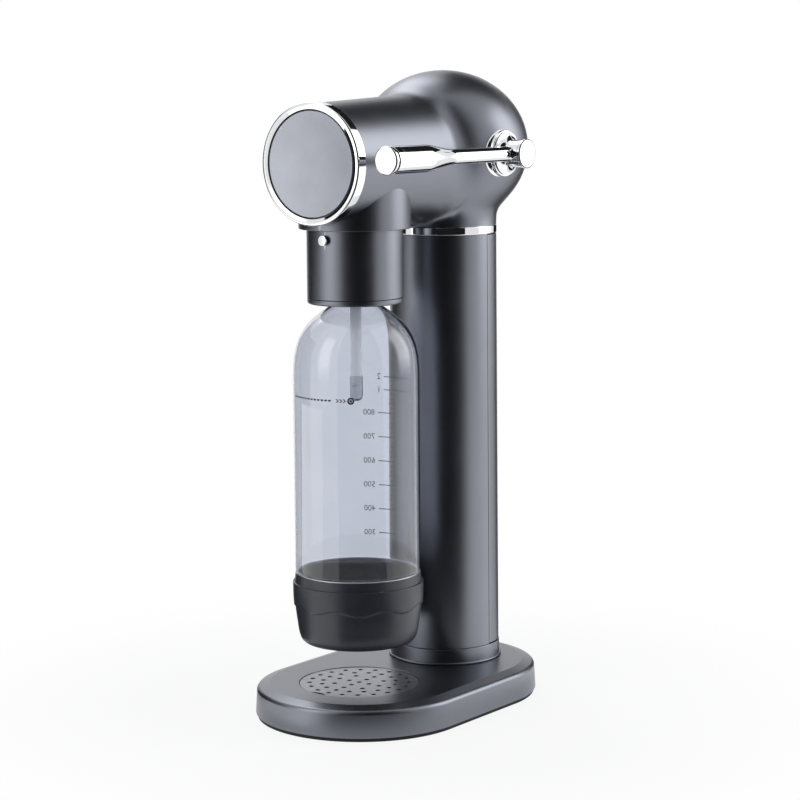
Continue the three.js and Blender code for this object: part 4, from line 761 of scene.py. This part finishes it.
# The saddle under the barrel and the sleeve round the bottle's neck
spout = dict(
    saddleRadius=38.8, saddleWall=3.6, saddleLip=0.7, gap=0.3, sleeveRadius=33.3, sleeveWall=2.6,
    sleeveTop=350.7, sleeveRows=(-12, -6.5, 5.2),
    rimHeight=4.2, rimRound=1.8, rimWidth=4.3, rimTenon=5.6, tenonGap=0.3, seam=0.4, coneReach=20,
)
button = dict(
    radius=3.75, drop=6.4, proud=3.2, round=0.7, hole=4.25, holeFrom=-40, holeTo=-25,
    flange=4.9, flangeY=-29.8, flangeDepth=1.2, stem=1.6, stemY=-22.9,
)
onBottle = dict(centre=bottleAt, steps=144)
coneLow, coneHigh = barrelFrontY - spout["coneReach"], columnAxisY
barrelCone = turnMesh("cone", [
    (0, coneLow), (barrelRadius(coneLow) + spout["gap"], coneLow),
    (barrelRadius(coneHigh) + spout["gap"], coneHigh), (0, coneHigh),
], axis="y", centre=frontAt, steps=144)
saddleOut = spout["saddleRadius"]
saddleSide = band(saddleOut - spout["saddleWall"], saddleOut, saddleZ, barrelAxisZ, spout["saddleLip"])
saddle = turnPiece("saddle", saddleSide, "stand", "gunmetal", ["spout_saddle"], **onBottle)
cutWith(saddle, barrelCone)

sleeveLow, sleeveTop = sleeveZ + spout["rimHeight"], spout["sleeveTop"]
sleeveOut = spout["sleeveRadius"]
sleeveIn = sleeveOut - spout["sleeveWall"]
buttonZ = saddleZ - button["drop"]
# rows round the button's hole keep the cut's shading local
sleeveRows = [buttonZ + row for row in spout["sleeveRows"]]
sleeve = turnPiece("sleeve", [
    (sleeveIn, sleeveLow), (sleeveOut, sleeveLow, 0.35), *[(sleeveOut, z) for z in sleeveRows],
    (sleeveOut, sleeveTop), (sleeveIn, sleeveTop), *[(sleeveIn, z) for z in reversed(sleeveRows)],
], "stand", "gunmetal", ["bottle_sleeve"], **onBottle)
onButton = dict(axis="y", centre=(0, bottleAxisY, buttonZ), steps=48)
cutWith(sleeve, turnMesh("hole", band(0, button["hole"], button["holeFrom"], button["holeTo"]), **onButton))
rimIn, rimTopZ = sleeveOut - spout["rimWidth"], sleeveLow - spout["seam"]
tenonZ, tenonOut = sleeveLow + spout["rimTenon"], sleeveIn - spout["tenonGap"]
turnPiece("sleeve_rim", [
    (rimIn, sleeveZ), (sleeveOut, sleeveZ, spout["rimRound"]), (sleeveOut, rimTopZ, 0.25),
    (tenonOut, rimTopZ), (tenonOut, tenonZ), (rimIn, tenonZ),
], "stand", "gunmetal", ["sleeve_lower_ring"], **onBottle)

buttonFace = -sleeveOut - button["proud"]
flangeY, flangeBackY = button["flangeY"], button["flangeY"] + button["flangeDepth"]
turnPiece("button", [
    (0, buttonFace), (button["radius"], buttonFace, button["round"]), (button["radius"], flangeY),
    (button["flange"], flangeY), (button["flange"], flangeBackY), (button["stem"], flangeBackY),
    (button["stem"], button["stemY"]), (0, button["stemY"]),
], "button", "chrome", ["release_button"], **onButton)

# The gas cylinder, which shows when the rear cover is off
gas = dict(
    radius=29.9, wall=3, footZ=25.9, footIn=24, footOut=25.5, hollow=19.5, hollowZ=28.15, dishZ=30.4,
    cornerRise=4.5, shoulderZ=303.6, shoulderHeight=30, neck=12.5, bore=8.5, topZ=340.6,
)
gasOut, gasIn, neck, bore = gas["radius"], gas["radius"] - gas["wall"], gas["neck"], gas["bore"]
footZ, dishZ, shoulderZ, shoulderHeight = gas["footZ"], gas["dishZ"], gas["shoulderZ"], gas["shoulderHeight"]
turnPiece("gas_bottle", [
    (0, dishZ), (gas["hollow"], gas["hollowZ"], 2), (gas["footIn"], footZ, 0.7),
    (gas["footOut"], footZ, 1.2), (gasOut, dishZ, 2.5),
    *arcPoints(neck, shoulderZ, gasOut - neck, shoulderHeight, 0, 90, 20),
    (neck, gas["topZ"], 0.6), (bore, gas["topZ"]),
    *arcPoints(bore, shoulderZ, gasIn - bore, shoulderHeight - gas["wall"], 90, 0, 12),
    (gasIn, dishZ + gas["cornerRise"]), (0, dishZ + gas["wall"]),
], "gas_cylinder", slotOf["gas_cylinder"], ["gas_cylinder"], "cylinder_paint", centre=columnAt)

# The tube and its nozzle
tube = dict(
    radius=3.9, bore=1.6, lowZ=241.4, highZ=329.6, nozzleRadius=4.5, nozzleLowZ=223.8, jet=0.6,
    tenon=1.3, tenonHeight=8,
)
onTube = dict(centre=bottleAt, steps=48)
turnPiece("gas_tube", band(tube["bore"], tube["radius"], tube["lowZ"], tube["highZ"], 0.2, 0.2),
          "stand", "white_plastic", ["carbonation_tube"], "milky_plastic", **onTube)
jet, tipZ, tubeZ, tenon = tube["jet"], tube["nozzleLowZ"], tube["lowZ"], tube["tenon"]
tipRound, tenonTopZ = tube["nozzleRadius"], tubeZ + tube["tenonHeight"]
turnPiece("nozzle", [
    (jet, tipZ), *arcPoints(jet, tipZ + tipRound, tipRound - jet, tipRound, -78, 0, 12),
    (tipRound, tubeZ, 0.3), (tenon, tubeZ), (tenon, tenonTopZ), (jet, tenonTopZ),
], "stand", "steel", ["nozzle_tip"], "bright_steel", **onTube)
print("stage: spout made")

# The lever: rosette, flared hub, cap, arm and grip cap
lever = dict(
    bore=5.3, rosetteRadius=16.3, rosetteFoot=48, rosetteFace=61.9, bedRadius=61.5, bedHeight=55.3,
    hubFace=62.3, hubSkirt=15.2, skirtDepth=0.9, flareHeight=6, flareFrom=5, flareSteps=12,
    hubRadius=9.6, hubEnd=77.0, capRadius=10.1, capLow=77.4, capEnd=80.0, capStem=5,
    capEdge=((0, 0.9, 0.2), (0.35, 0.75, 0.1), (0.5, 0, 0.45)),
    capRing=((0.6, 0.62), (-0.04, 0.62, 0.15), (-0.04, 0.16, 0.15), (0.6, 0.1)), armX=69.5, armRadius=5.3,
    taper=(-77, -83, -100, -109), gripRadius=9.2, gripCapRadius=9.45, faceRound=1.5,
    length=150.5, capLength=11.5, capGap=0.12, socketDepth=9.3, tenon=5, tenonDepth=9,
    ringAt=2.7, ringWidth=1.8, ringDepth=1.3, ringSunk=0.02, ringProud=0.45, ringGap=0.03, gripStep=0.1,
)
onSpindle = dict(axis="x", centre=leverAt)
bore = lever["bore"]
rosetteSide = band(bore, lever["rosetteRadius"], lever["rosetteFoot"], lever["rosetteFace"], 0, 0.8)
rosette = turnPiece("rosette", rosetteSide, "stand", "chrome", ["lever_rosette"], **onSpindle)
# the rosette's back follows the bulb
bulbBed = arcPoints(0, bulbCentreZ, lever["bedRadius"], lever["bedHeight"], 90, -90, 90)
cutWith(rosette, turnMesh("bulb", bulbBed, centre=columnAt, steps=128))

hubFace, skirt, hubNeck, hubEnd = lever["hubFace"], lever["hubSkirt"], lever["hubRadius"], lever["hubEnd"]
flareX, flareFrom, flareSteps = hubFace + lever["skirtDepth"], lever["flareFrom"], lever["flareSteps"]
flareTurns = [radians(flareFrom + (90 - flareFrom) * i / flareSteps) for i in range(1, flareSteps + 1)]
flare = [(hubNeck + (skirt - hubNeck) * (1 - sin(a)), flareX + lever["flareHeight"] * (1 - cos(a)))
         for a in flareTurns]
turnPiece("hub", [
    (bore, hubFace), (skirt, hubFace, 0.3), (skirt, flareX, 0.3), *flare,
    (hubNeck, hubEnd, 0.25), (bore, hubEnd),
], "lever", "chrome", ["lever_hub"], **onSpindle)
cap, capLow, capEnd, stem = lever["capRadius"], lever["capLow"], lever["capEnd"], lever["capStem"]


def onCap(rows):
    # a row says how far in from the cap's side, how far below its end, and the rounding
    return [(cap - inset, capEnd - below, *rounding) for inset, below, *rounding in rows]


turnPiece("hub_cap", [
    (0, capLow - stem), (stem, capLow - stem), (stem, capLow), (cap, capLow, 0.25),
    *onCap(lever["capEdge"]), (0, capEnd),
], "lever", "chrome", ["lever_hub_cap"], **onSpindle)
# a grey ring lies round the cap's face
turnPiece("hub_ring", onCap(lever["capRing"]), "lever", "steel", look="ring_grey", **onSpindle)

onArm = dict(axis="y", centre=(lever["armX"], leverAxisY, leverAxisZ))
thin, grip, gripCap, tenon = lever["armRadius"], lever["gripRadius"], lever["gripCapRadius"], lever["tenon"]
faceY = -lever["length"]
jointY = faceY + lever["capLength"]
armEnd = jointY + lever["capGap"]
taper = bezierPoints(*zip((thin, thin, grip, grip), lever["taper"]), 24)
turnPiece("arm", [
    (0, -thin), (thin, -thin), *taper, (grip, armEnd, 0.15), (bore, armEnd),
    (bore, armEnd + lever["socketDepth"]), (0, armEnd + lever["socketDepth"]),
], "lever", "chrome", ["lever_arm"], **onArm)
ringY = faceY + lever["ringAt"]
ringTopY = ringY + lever["ringWidth"]
ringBed = gripCap - lever["ringDepth"]
tenonY, gripOut = jointY + lever["tenonDepth"], grip + lever["gripStep"]
turnPiece("grip_cap", [
    (0, faceY), (gripCap, faceY, lever["faceRound"]), (gripCap, ringY, 0.2), (ringBed, ringY),
    (ringBed, ringTopY), (gripOut, ringTopY, 0.2), (gripOut, jointY, 0.15), (tenon, jointY),
    (tenon, tenonY), (0, tenonY),
], "lever", "chrome", ["lever_grip_cap"], **onArm)
turnPiece("grip_ring", band(
    ringBed - lever["ringSunk"], ringBed + lever["ringProud"],
    ringY + lever["ringGap"], ringTopY - lever["ringGap"], 0.2, 0.2,
), "lever", "black_rubber", **onArm)
print("stage: lever made")

# Two springs: the plunger's and the button's
springs = [
    dict(name="plunger_coil", node="plunger_spring", axis="z", wire=0.6, turns=3.5,
         joint="plunger_press", travel=3.0, fixedEnd=0),
    dict(name="button_coil", node="button_spring", axis="y", wire=0.25, turns=2.5,
         joint="button_press", travel=2.5, fixedEnd=1),
]


def coilMesh(spring, centre, radius, low, high, around=10, perTurn=40):
    steps = int(spring["turns"] * perTurn)
    thick = spring["wire"]
    verts = []
    for i in range(steps + 1):
        height = low + thick + (high - low - 2 * thick) * i / steps
        for j in range(around):
            r, h = onCircle(thick, 2 * pi * j / around, radius, height)
            verts.append(place(spring["axis"], r, h, 2 * pi * i / perTurn, centre))
    ends = [tuple(range(around)), tuple(range(steps * around, (steps + 1) * around))]
    return plainMesh(spring["name"], verts, ends + gridFaces(steps + 1, around))


for spring in springs:
    corners = [[value / mm for value in corner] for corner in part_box(spring["node"])]
    along = "xyz".index(spring["axis"])
    low, high = corners[0][along], corners[1][along]
    centre = [(a + b) / 2 for a, b in zip(*corners)]
    centre[along] = 0
    radius = (corners[1][0] - corners[0][0]) / 2 - spring["wire"]
    coilShape = coilMesh(spring, centre, radius, low, high)
    coil = meshPiece(spring["name"], coilShape, "stand", "steel", [spring["node"]])
    settle(coil)
    fixed = [value * mm for value in centre]
    fixed[along] = (low, high)[spring["fixedEnd"]] * mm
    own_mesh(coil)

# The bottle and its base cup
bottle = dict(
    radius=44, wall=1.2, neck=15.6, bore=12.6, shoulderLow=241.5, neckBase=292.2, shoulderFullness=0.62,
    shoulderDrop=0.42, rimZ=104.1, step=1.6, footRadius=41.6, domeRise=34, floorZ=57.8,
    footUnder=1, wallFrom=10, wallTo=6, wallRows=12,
    ringLow=293.6, ringTop=295.8, ringRadius=18.5, ringRound=0.4,
)


def bottleSide(inset, neckInset):
    # from the middle of the floor up to the neck
    radius, neck = bottle["radius"] - inset, bottle["neck"] - neckInset
    low, high = bottle["shoulderLow"], bottle["neckBase"]
    footOut, rise, full = bottle["footRadius"] - inset, bottle["domeRise"], bottle["shoulderFullness"]
    dome = arcPoints(0, bottle["floorZ"] + rise, footOut, rise - inset, -90, 0, 32)
    dome[0] = (0, dome[0][1])
    rimZ = bottle["rimZ"]
    wall = [(footOut, rimZ - bottle["footUnder"]), (radius, rimZ + bottle["step"], 1)]
    rows = np.linspace(rimZ + bottle["wallFrom"], low - bottle["wallTo"], bottle["wallRows"])
    wall += [(radius, z) for z in rows]
    span = radius - neck
    shoulder = bezierPoints((radius, low), (radius, low + (high - low) * full),
                            (neck + span * full, high - span * bottle["shoulderDrop"]), (neck, high), 40)
    return dome + wall + shoulder


neck, neckBore, collar, rimRound = bottle["neck"], bottle["bore"], bottle["ringRadius"], bottle["ringRound"]
turnPiece("bottle_shell", bottleSide(0, 0) + [
    (neck, bottle["ringLow"]), (collar, bottle["ringLow"], rimRound), (collar, bottle["ringTop"], rimRound),
    (neck, bottle["ringTop"]), (neck, mouthZ, rimRound), (neckBore, mouthZ, rimRound),
    (neckBore, bottle["neckBase"]),
] + bottleSide(bottle["wall"], neck - neckBore)[::-1][1:],
    "bottle", "clear_plastic", ["bottle"], centre=bottleAt, steps=160, sharp=50)

cup = dict(
    footRadius=35.5, bellyRadius=45.75, ledgeZ=97.2, ledgeIn=44.5, ledgeRise=0.25,
    rimRadius=43.9, rimZ=103.7, bore=41.9, insideZ=91.8, insideDepth=34.3,
    foot=((37.2, 54.5), (41.6, 55.7), (43.2, 64), (44.7, 76)),
    side=((44.7, 76), (45.4, 82), (45.75, 88), (45.75, 93.5)),
    waveZ=82.2, waveHeight=1.75, waves=8, wavePhase=-6, step=0.85, stepHeight=0.9,
    waveInside=40, waveTopZ=94, fadeZ=56, fadeHeight=12,
)
# the band that paints the highlight at the cup's lip
cupLipHighlight = dict(inner=42.1, outer=43.75, low=103.55, high=104.25, lowRound=0.3, highRound=0.3)


def waveShape(r, z, angle):
    # the outside steps in below a wavy line, and the step fades out towards the foot
    if r < cup["waveInside"] or z > cup["waveTopZ"]:
        return r, z
    line = cup["waveZ"] - cup["waveHeight"] * cos(cup["waves"] * (angle - radians(cup["wavePhase"])))
    drop = min(max((line - z) / cup["stepHeight"], 0), 1)
    fade = min(max((z - cup["fadeZ"]) / cup["fadeHeight"], 0), 1)
    return r - cup["step"] * drop * drop * (3 - 2 * drop) * fade, z


ledgeZ, cupBore = cup["ledgeZ"], cup["bore"]
inside = arcPoints(0, cup["insideZ"], cupBore, cup["insideDepth"], 0, -90, 32)
inside[-1] = (0, inside[-1][1])
turnPiece("bottle_cup", [
    (0, cupBottomZ), (cup["footRadius"], cupBottomZ), *bezierPoints(*cup["foot"], 22),
    *bezierPoints(*cup["side"], 30)[1:], (cup["bellyRadius"], ledgeZ, 0.35),
    (cup["ledgeIn"], ledgeZ + cup["ledgeRise"], 0.2),
    (cup["rimRadius"], cup["rimZ"], 0.35), (cupBore, cup["rimZ"], 0.2), *inside,
], "bottle", "charcoal_plastic", ["bottle_base_cup"], centre=bottleAt, steps=240, shape=waveShape)
# a thin light silver band at the lip between cup and bottle: a painted highlight where the bottle's step
# catches the light
turnPiece("cup_lip_highlight", band(**cupLipHighlight), "bottle", "charcoal_plastic", look="lip_highlight_silver",
          centre=bottleAt, steps=200)

# Printed marks: a thin film of ink on the bottle's outside, placed by degrees round it and height
marks = dict(
    film=0.06, line=0.58, step=1.2, numberSize=6.2, smallSize=5.8,
    fills=((235.7, "2"), (226.3, "1")), fillFrom=67, fillTo=101, fillNumber=106, tick=(63.7, 64.3, 2.6, 0.8),
    pointerZ=229.7, pointerAt=-57.2, eye=(2.4, 1.3), dot=0.9, chevrons=3, chevronPitch=3.2,
    chevron=(1.7, 1.3, 0.9), dashFrom=-124, dashTo=-72, dash=2.4, dashPitch=3.84,
    scaleFrom=90, scaleTo=107, scaleNumber=116, scaleLow=122.8, scaleStep=17.38,
    scale=("300", "400", "500", "600", "700", "800"), parts=(4, 6, 4, 4),
)


def degreesOf(length):
    return degrees(length / bottle["radius"])


def strip(fromDegrees, toDegrees, lowZ, highZ):
    # a band of small faces, so that it follows the round
    span = toDegrees - fromDegrees
    count = max(1, round(radians(abs(span)) * bottle["radius"] / marks["step"]))
    faces = []
    for i in range(count):
        a = fromDegrees + span * i / count
        b = fromDegrees + span * (i + 1) / count
        faces.append([(a, lowZ), (b, lowZ), (b, highZ), (a, highZ)])
    return faces


def ringMark(atDegrees, z, outer, inner, steps=28):
    faces = []
    for i in range(steps):
        a = 2 * pi * i / steps
        b = 2 * pi * (i + 1) / steps
        corners = ((outer, a), (outer, b), (inner, b), (inner, a))
        faces.append([(atDegrees + degreesOf(r * cos(t)), z + r * sin(t)) for r, t in corners])
    return faces


def chevron(atDegrees, z, width, height, stroke):
    # points to the round mark
    return [[
        (atDegrees + degreesOf(width), z), (atDegrees + degreesOf(width - stroke), z),
        (atDegrees - degreesOf(stroke), z + side * height), (atDegrees, z + side * height),
    ] for side in (-1, 1)]


def numberMark(body, atDegrees, z, size):
    curve = bpy.data.curves.new("number", "FONT")
    curve.body = body
    curve.size = size
    curve.align_x = "CENTER"
    curve.align_y = "CENTER"
    curve.resolution_u = 3
    mesh = curveMesh(curve)
    corners = [[mesh.vertices[i].co for i in polygon.vertices] for polygon in mesh.polygons]
    return [[(atDegrees + degreesOf(c.x), z + c.y) for c in face] for face in corners]


def marksMesh():
    line, faces = marks["line"], []
    left, right, below, above = marks["tick"]
    for z, number in marks["fills"]:
        faces += strip(marks["fillFrom"], marks["fillTo"], z - line / 2, z + line / 2)
        faces += strip(left, right, z - below, z + above)
        faces += numberMark(number, marks["fillNumber"], z, marks["numberSize"])
    z, at = marks["pointerZ"], marks["pointerAt"]
    faces += ringMark(at, z, *marks["eye"]) + ringMark(at, z, marks["dot"], 0)
    for i in range(marks["chevrons"]):
        faces += chevron(at - marks["chevronPitch"] * (i + 2), z, *marks["chevron"])
    dash = marks["dashFrom"]
    while dash < marks["dashTo"] - marks["dash"]:
        faces += strip(dash, dash + marks["dash"], z - line, z + line)
        dash += marks["dashPitch"]
    start = marks["scaleFrom"]
    for i, number in enumerate(marks["scale"]):
        z = marks["scaleLow"] + marks["scaleStep"] * i
        faces += numberMark(number, marks["scaleNumber"], z, marks["smallSize"])
        faces += strip(start, marks["scaleTo"], z - line / 2, z + line / 2)
        for part, width in enumerate(marks["parts"], 1):
            partZ = z + marks["scaleStep"] * part / 5
            faces += strip(start, start + width, partZ - line / 3, partZ + line / 3)
    # each face is laid on the bottle's wall, a film's thickness out
    radius = bottle["radius"] + marks["film"]
    bm = bmesh.new()
    for face in faces:
        spots = [(*onCircle(radius, radians(turn), 0, bottleAxisY), z) for turn, z in face]
        bm.faces.new([bm.verts.new(Vector(spot) * mm) for spot in spots])
    return builtMesh("fill_marks", bm)


meshPiece("fill_marks", marksMesh(), "bottle", "black_plastic", look="ink", weigh=False)
print("stage: bottle made")

# The studio. A heading is in degrees round from the camera, to its right; a lift is in degrees up.
studio = dict(
    floor="#eef0f2", floorReach=8, floorBlend=(0.88, 1.0), blendFrom=0.14, blendTo=0.4,
    fill=0.42, softEdge=0.28, flagColour="#2a2a2d", flagRadius=2.4, flagHeight=0.3, flagLowest=0.002,
    flagRows=12, flagSteps=24, cardZ=0.006, cardSteps=16,
)
view = dict(
    azimuth=36.75, pitch=7.92, roll=-0.41, at=(0.9905, -1.3220, 0.4489), focalPixels=2347.6, pixels=800,
    sensor=36, clipEnd=30,
)


def towards(heading, lift=0):
    turn, rise = radians(heading + view["azimuth"] - 90), radians(lift)
    return Vector((cos(turn) * cos(rise), sin(turn) * cos(rise), sin(rise)))


def shownRays(tree):
    # 1 for rays that show the background: from the camera, off gloss and through glass
    path = addNode(tree, "LightPath")
    last = path["Is Camera Ray"]
    for label in ("Is Glossy Ray", "Is Transmission Ray"):
        last = calculate(tree, "MAXIMUM", last, path[label])
    return last


def floorFinish():
    # pale, and whiter away from the object, where it runs into the background
    material, tree, shader = newMaterial("studioFloor", {
        "Base Color": tint(studio["floor"]), "Roughness": 0.6, "Specular IOR Level": 0.1})
    spot = addNode(tree, "TexCoord")["Object"]
    away = addNode(tree, "VectorMath", {0: spot}, operation="LENGTH")["Value"]
    near, far = studio["floorBlend"]
    share = addNode(tree, "MapRange", {
        "Value": away, "From Min": studio["blendFrom"], "From Max": studio["blendTo"],
        "To Min": near, "To Max": far,
    }, interpolation_type="SMOOTHSTEP")
    seen = calculate(tree, "MULTIPLY", share["Result"], shownRays(tree))
    glow = addNode(tree, "Emission")["Emission"]
    both = addNode(tree, "MixShader", {0: seen, 1: shader.outputs[0], 2: glow})
    wire(tree, tree.nodes["Material Output"], {"Surface": both[0]})
    return material


reach = studio["floorReach"]
corners = [(-reach, -reach, 0), (reach, -reach, 0), (reach, reach, 0), (-reach, reach, 0)]
floor = addObject("floor", plainMesh("floor", corners, [(0, 1, 2, 3)]))
floor.data.materials.append(floorFinish())

world = bpy.data.worlds.new("studio")
scene.world = world
world.use_nodes = True
sky = world.node_tree
strength = addNode(sky, "MapRange", {"Value": shownRays(sky), "To Min": studio["fill"], "To Max": 1.0})
wire(sky, sky.nodes["Background"], {"Color": (1, 1, 1, 1), "Strength": strength["Result"]})

# three softboxes: right of the object, left of the camera, and high behind it on the left
lamps = [
    dict(name="rightBox", heading=102, away=1.8, z=1.05, aimZ=0.95, size=(1.55, 2.3), power=31),
    dict(name="leftBox", heading=-60, away=1.6, z=0.95, aimZ=0.85, size=(0.92, 2.1), power=11.5),
    dict(name="backBox", heading=-152, away=1.25, z=1.72, aimZ=0.35, size=(1.25, 1.4), power=15.5),
]


def softEdges(light):
    # the light fades towards the edges of its box, as a diffuser does
    light.use_nodes = True
    tree = light.node_tree
    parts = addNode(tree, "SeparateXYZ", {0: addNode(tree, "NewGeometry")["Parametric"]})
    last = 1
    for axis, side in ((0, 0), (0, 1), (1, 0), (1, 1)):
        full = side + studio["softEdge"] * (1 - 2 * side)
        fade = addNode(tree, "MapRange", {"Value": parts[axis], "From Min": side, "From Max": full},
                       interpolation_type="SMOOTHSTEP")
        last = calculate(tree, "MULTIPLY", last, fade["Result"])
    wire(tree, tree.nodes["Emission"], {"Strength": last})


for lamp in lamps:
    light = bpy.data.lights.new(lamp["name"], "AREA")
    light.shape = "RECTANGLE"
    light.size, light.size_y = lamp["size"]
    light.energy = lamp["power"]
    softEdges(light)
    softbox = addObject(lamp["name"], light)
    softbox.location = towards(lamp["heading"]) * lamp["away"] + Vector((0, 0, lamp["z"]))
    aim = Vector((0, 0, lamp["aimZ"])) - softbox.location
    softbox.rotation_euler = aim.to_track_quat("-Z", "Y").to_euler()
    softbox.visible_camera = False


def sweepRow(headings, lift, reach, rise, lowest, steps):
    # a row of points at one lift, none of them under the floor
    row = []
    for i in range(steps + 1):
        spot = towards(headings[0] + (headings[1] - headings[0]) * i / steps, lift) * reach
        spot.z = max(spot.z + rise, lowest)
        row.append(spot)
    return row


def addBoard(name, rows, material):
    # seen only in reflections
    verts = [spot for row in rows for spot in row]
    board = addObject(name, plainMesh(name, verts, gridFaces(len(rows), len(rows[0]), joinEnds=False)))
    board.data.materials.append(material)
    board.visible_camera = False
    board.visible_shadow = False
    board.visible_diffuse = False
    board.visible_transmission = False


# Dark flags round the set: each is part of a dome, and its foot lies on the floor
flags = [
    dict(name="frontFlag", headings=(-33, 48), lifts=(-8, 78), foot=0.165),
    dict(name="leftFlag", headings=(-150, -88), lifts=(-8, 24), foot=0.14),
    dict(name="rightFlag", headings=(136, 161), lifts=(-8, 24), foot=0.14),
    dict(name="topFlag", headings=(124, 177), lifts=(27, 86), foot=0),
]
flagFinish = newMaterial("darkFlag", {
    "Base Color": tint(studio["flagColour"]), "Roughness": 0.9, "Specular IOR Level": 0})[0]
for flag in flags:
    (low, high), headings = flag["lifts"], flag["headings"]
    lowest, steps, count = studio["flagLowest"], studio["flagSteps"], studio["flagRows"]
    rows = [sweepRow(headings, 0, flag["foot"], 0, lowest, steps)] if flag["foot"] else []
    for i in range(count + 1):
        lift = low + (high - low) * i / count
        rows.append(sweepRow(headings, lift, studio["flagRadius"], studio["flagHeight"], lowest, steps))
    addBoard(flag["name"], rows, flagFinish)

# Bright cards that lie on the floor beside the object
cards = [
    dict(name="rightCard", headings=(59, 116), reach=(0.13, 2.0), glow=1.3),
    dict(name="leftCard", headings=(-80, -36), reach=(0.13, 0.5), glow=1.35),
    dict(name="farLeftCard", headings=(-114, -62), reach=(0.5, 1.6), glow=1.7),
]
for card in cards:
    cardFinish = newMaterial(card["name"] + "Glow", {
        "Base Color": (0, 0, 0, 1), "Emission Color": (1, 1, 1, 1), "Emission Strength": card["glow"]})[0]
    rows = [sweepRow(card["headings"], 0, reach, 0, studio["cardZ"], studio["cardSteps"])
            for reach in card["reach"]]
    addBoard(card["name"], rows, cardFinish)

# The camera stands where the photograph was taken from
back = towards(0, view["pitch"])
right = towards(90)
up = back.cross(right)
roll = radians(view["roll"])
turned = Matrix((right * cos(roll) + up * sin(roll), up * cos(roll) - right * sin(roll), back)).transposed()
cameraData = bpy.data.cameras.new("camera")
cameraData.sensor_width = view["sensor"]
cameraData.lens = view["focalPixels"] * view["sensor"] / view["pixels"]
cameraData.clip_end = view["clipEnd"]
camera = addObject("camera", cameraData)
camera.matrix_world = Matrix.Translation(Vector(view["at"])) @ turned.to_4x4()
bpy.context.scene.camera = camera
scene.view_settings.view_transform = "Standard"

print("stage: studio set")
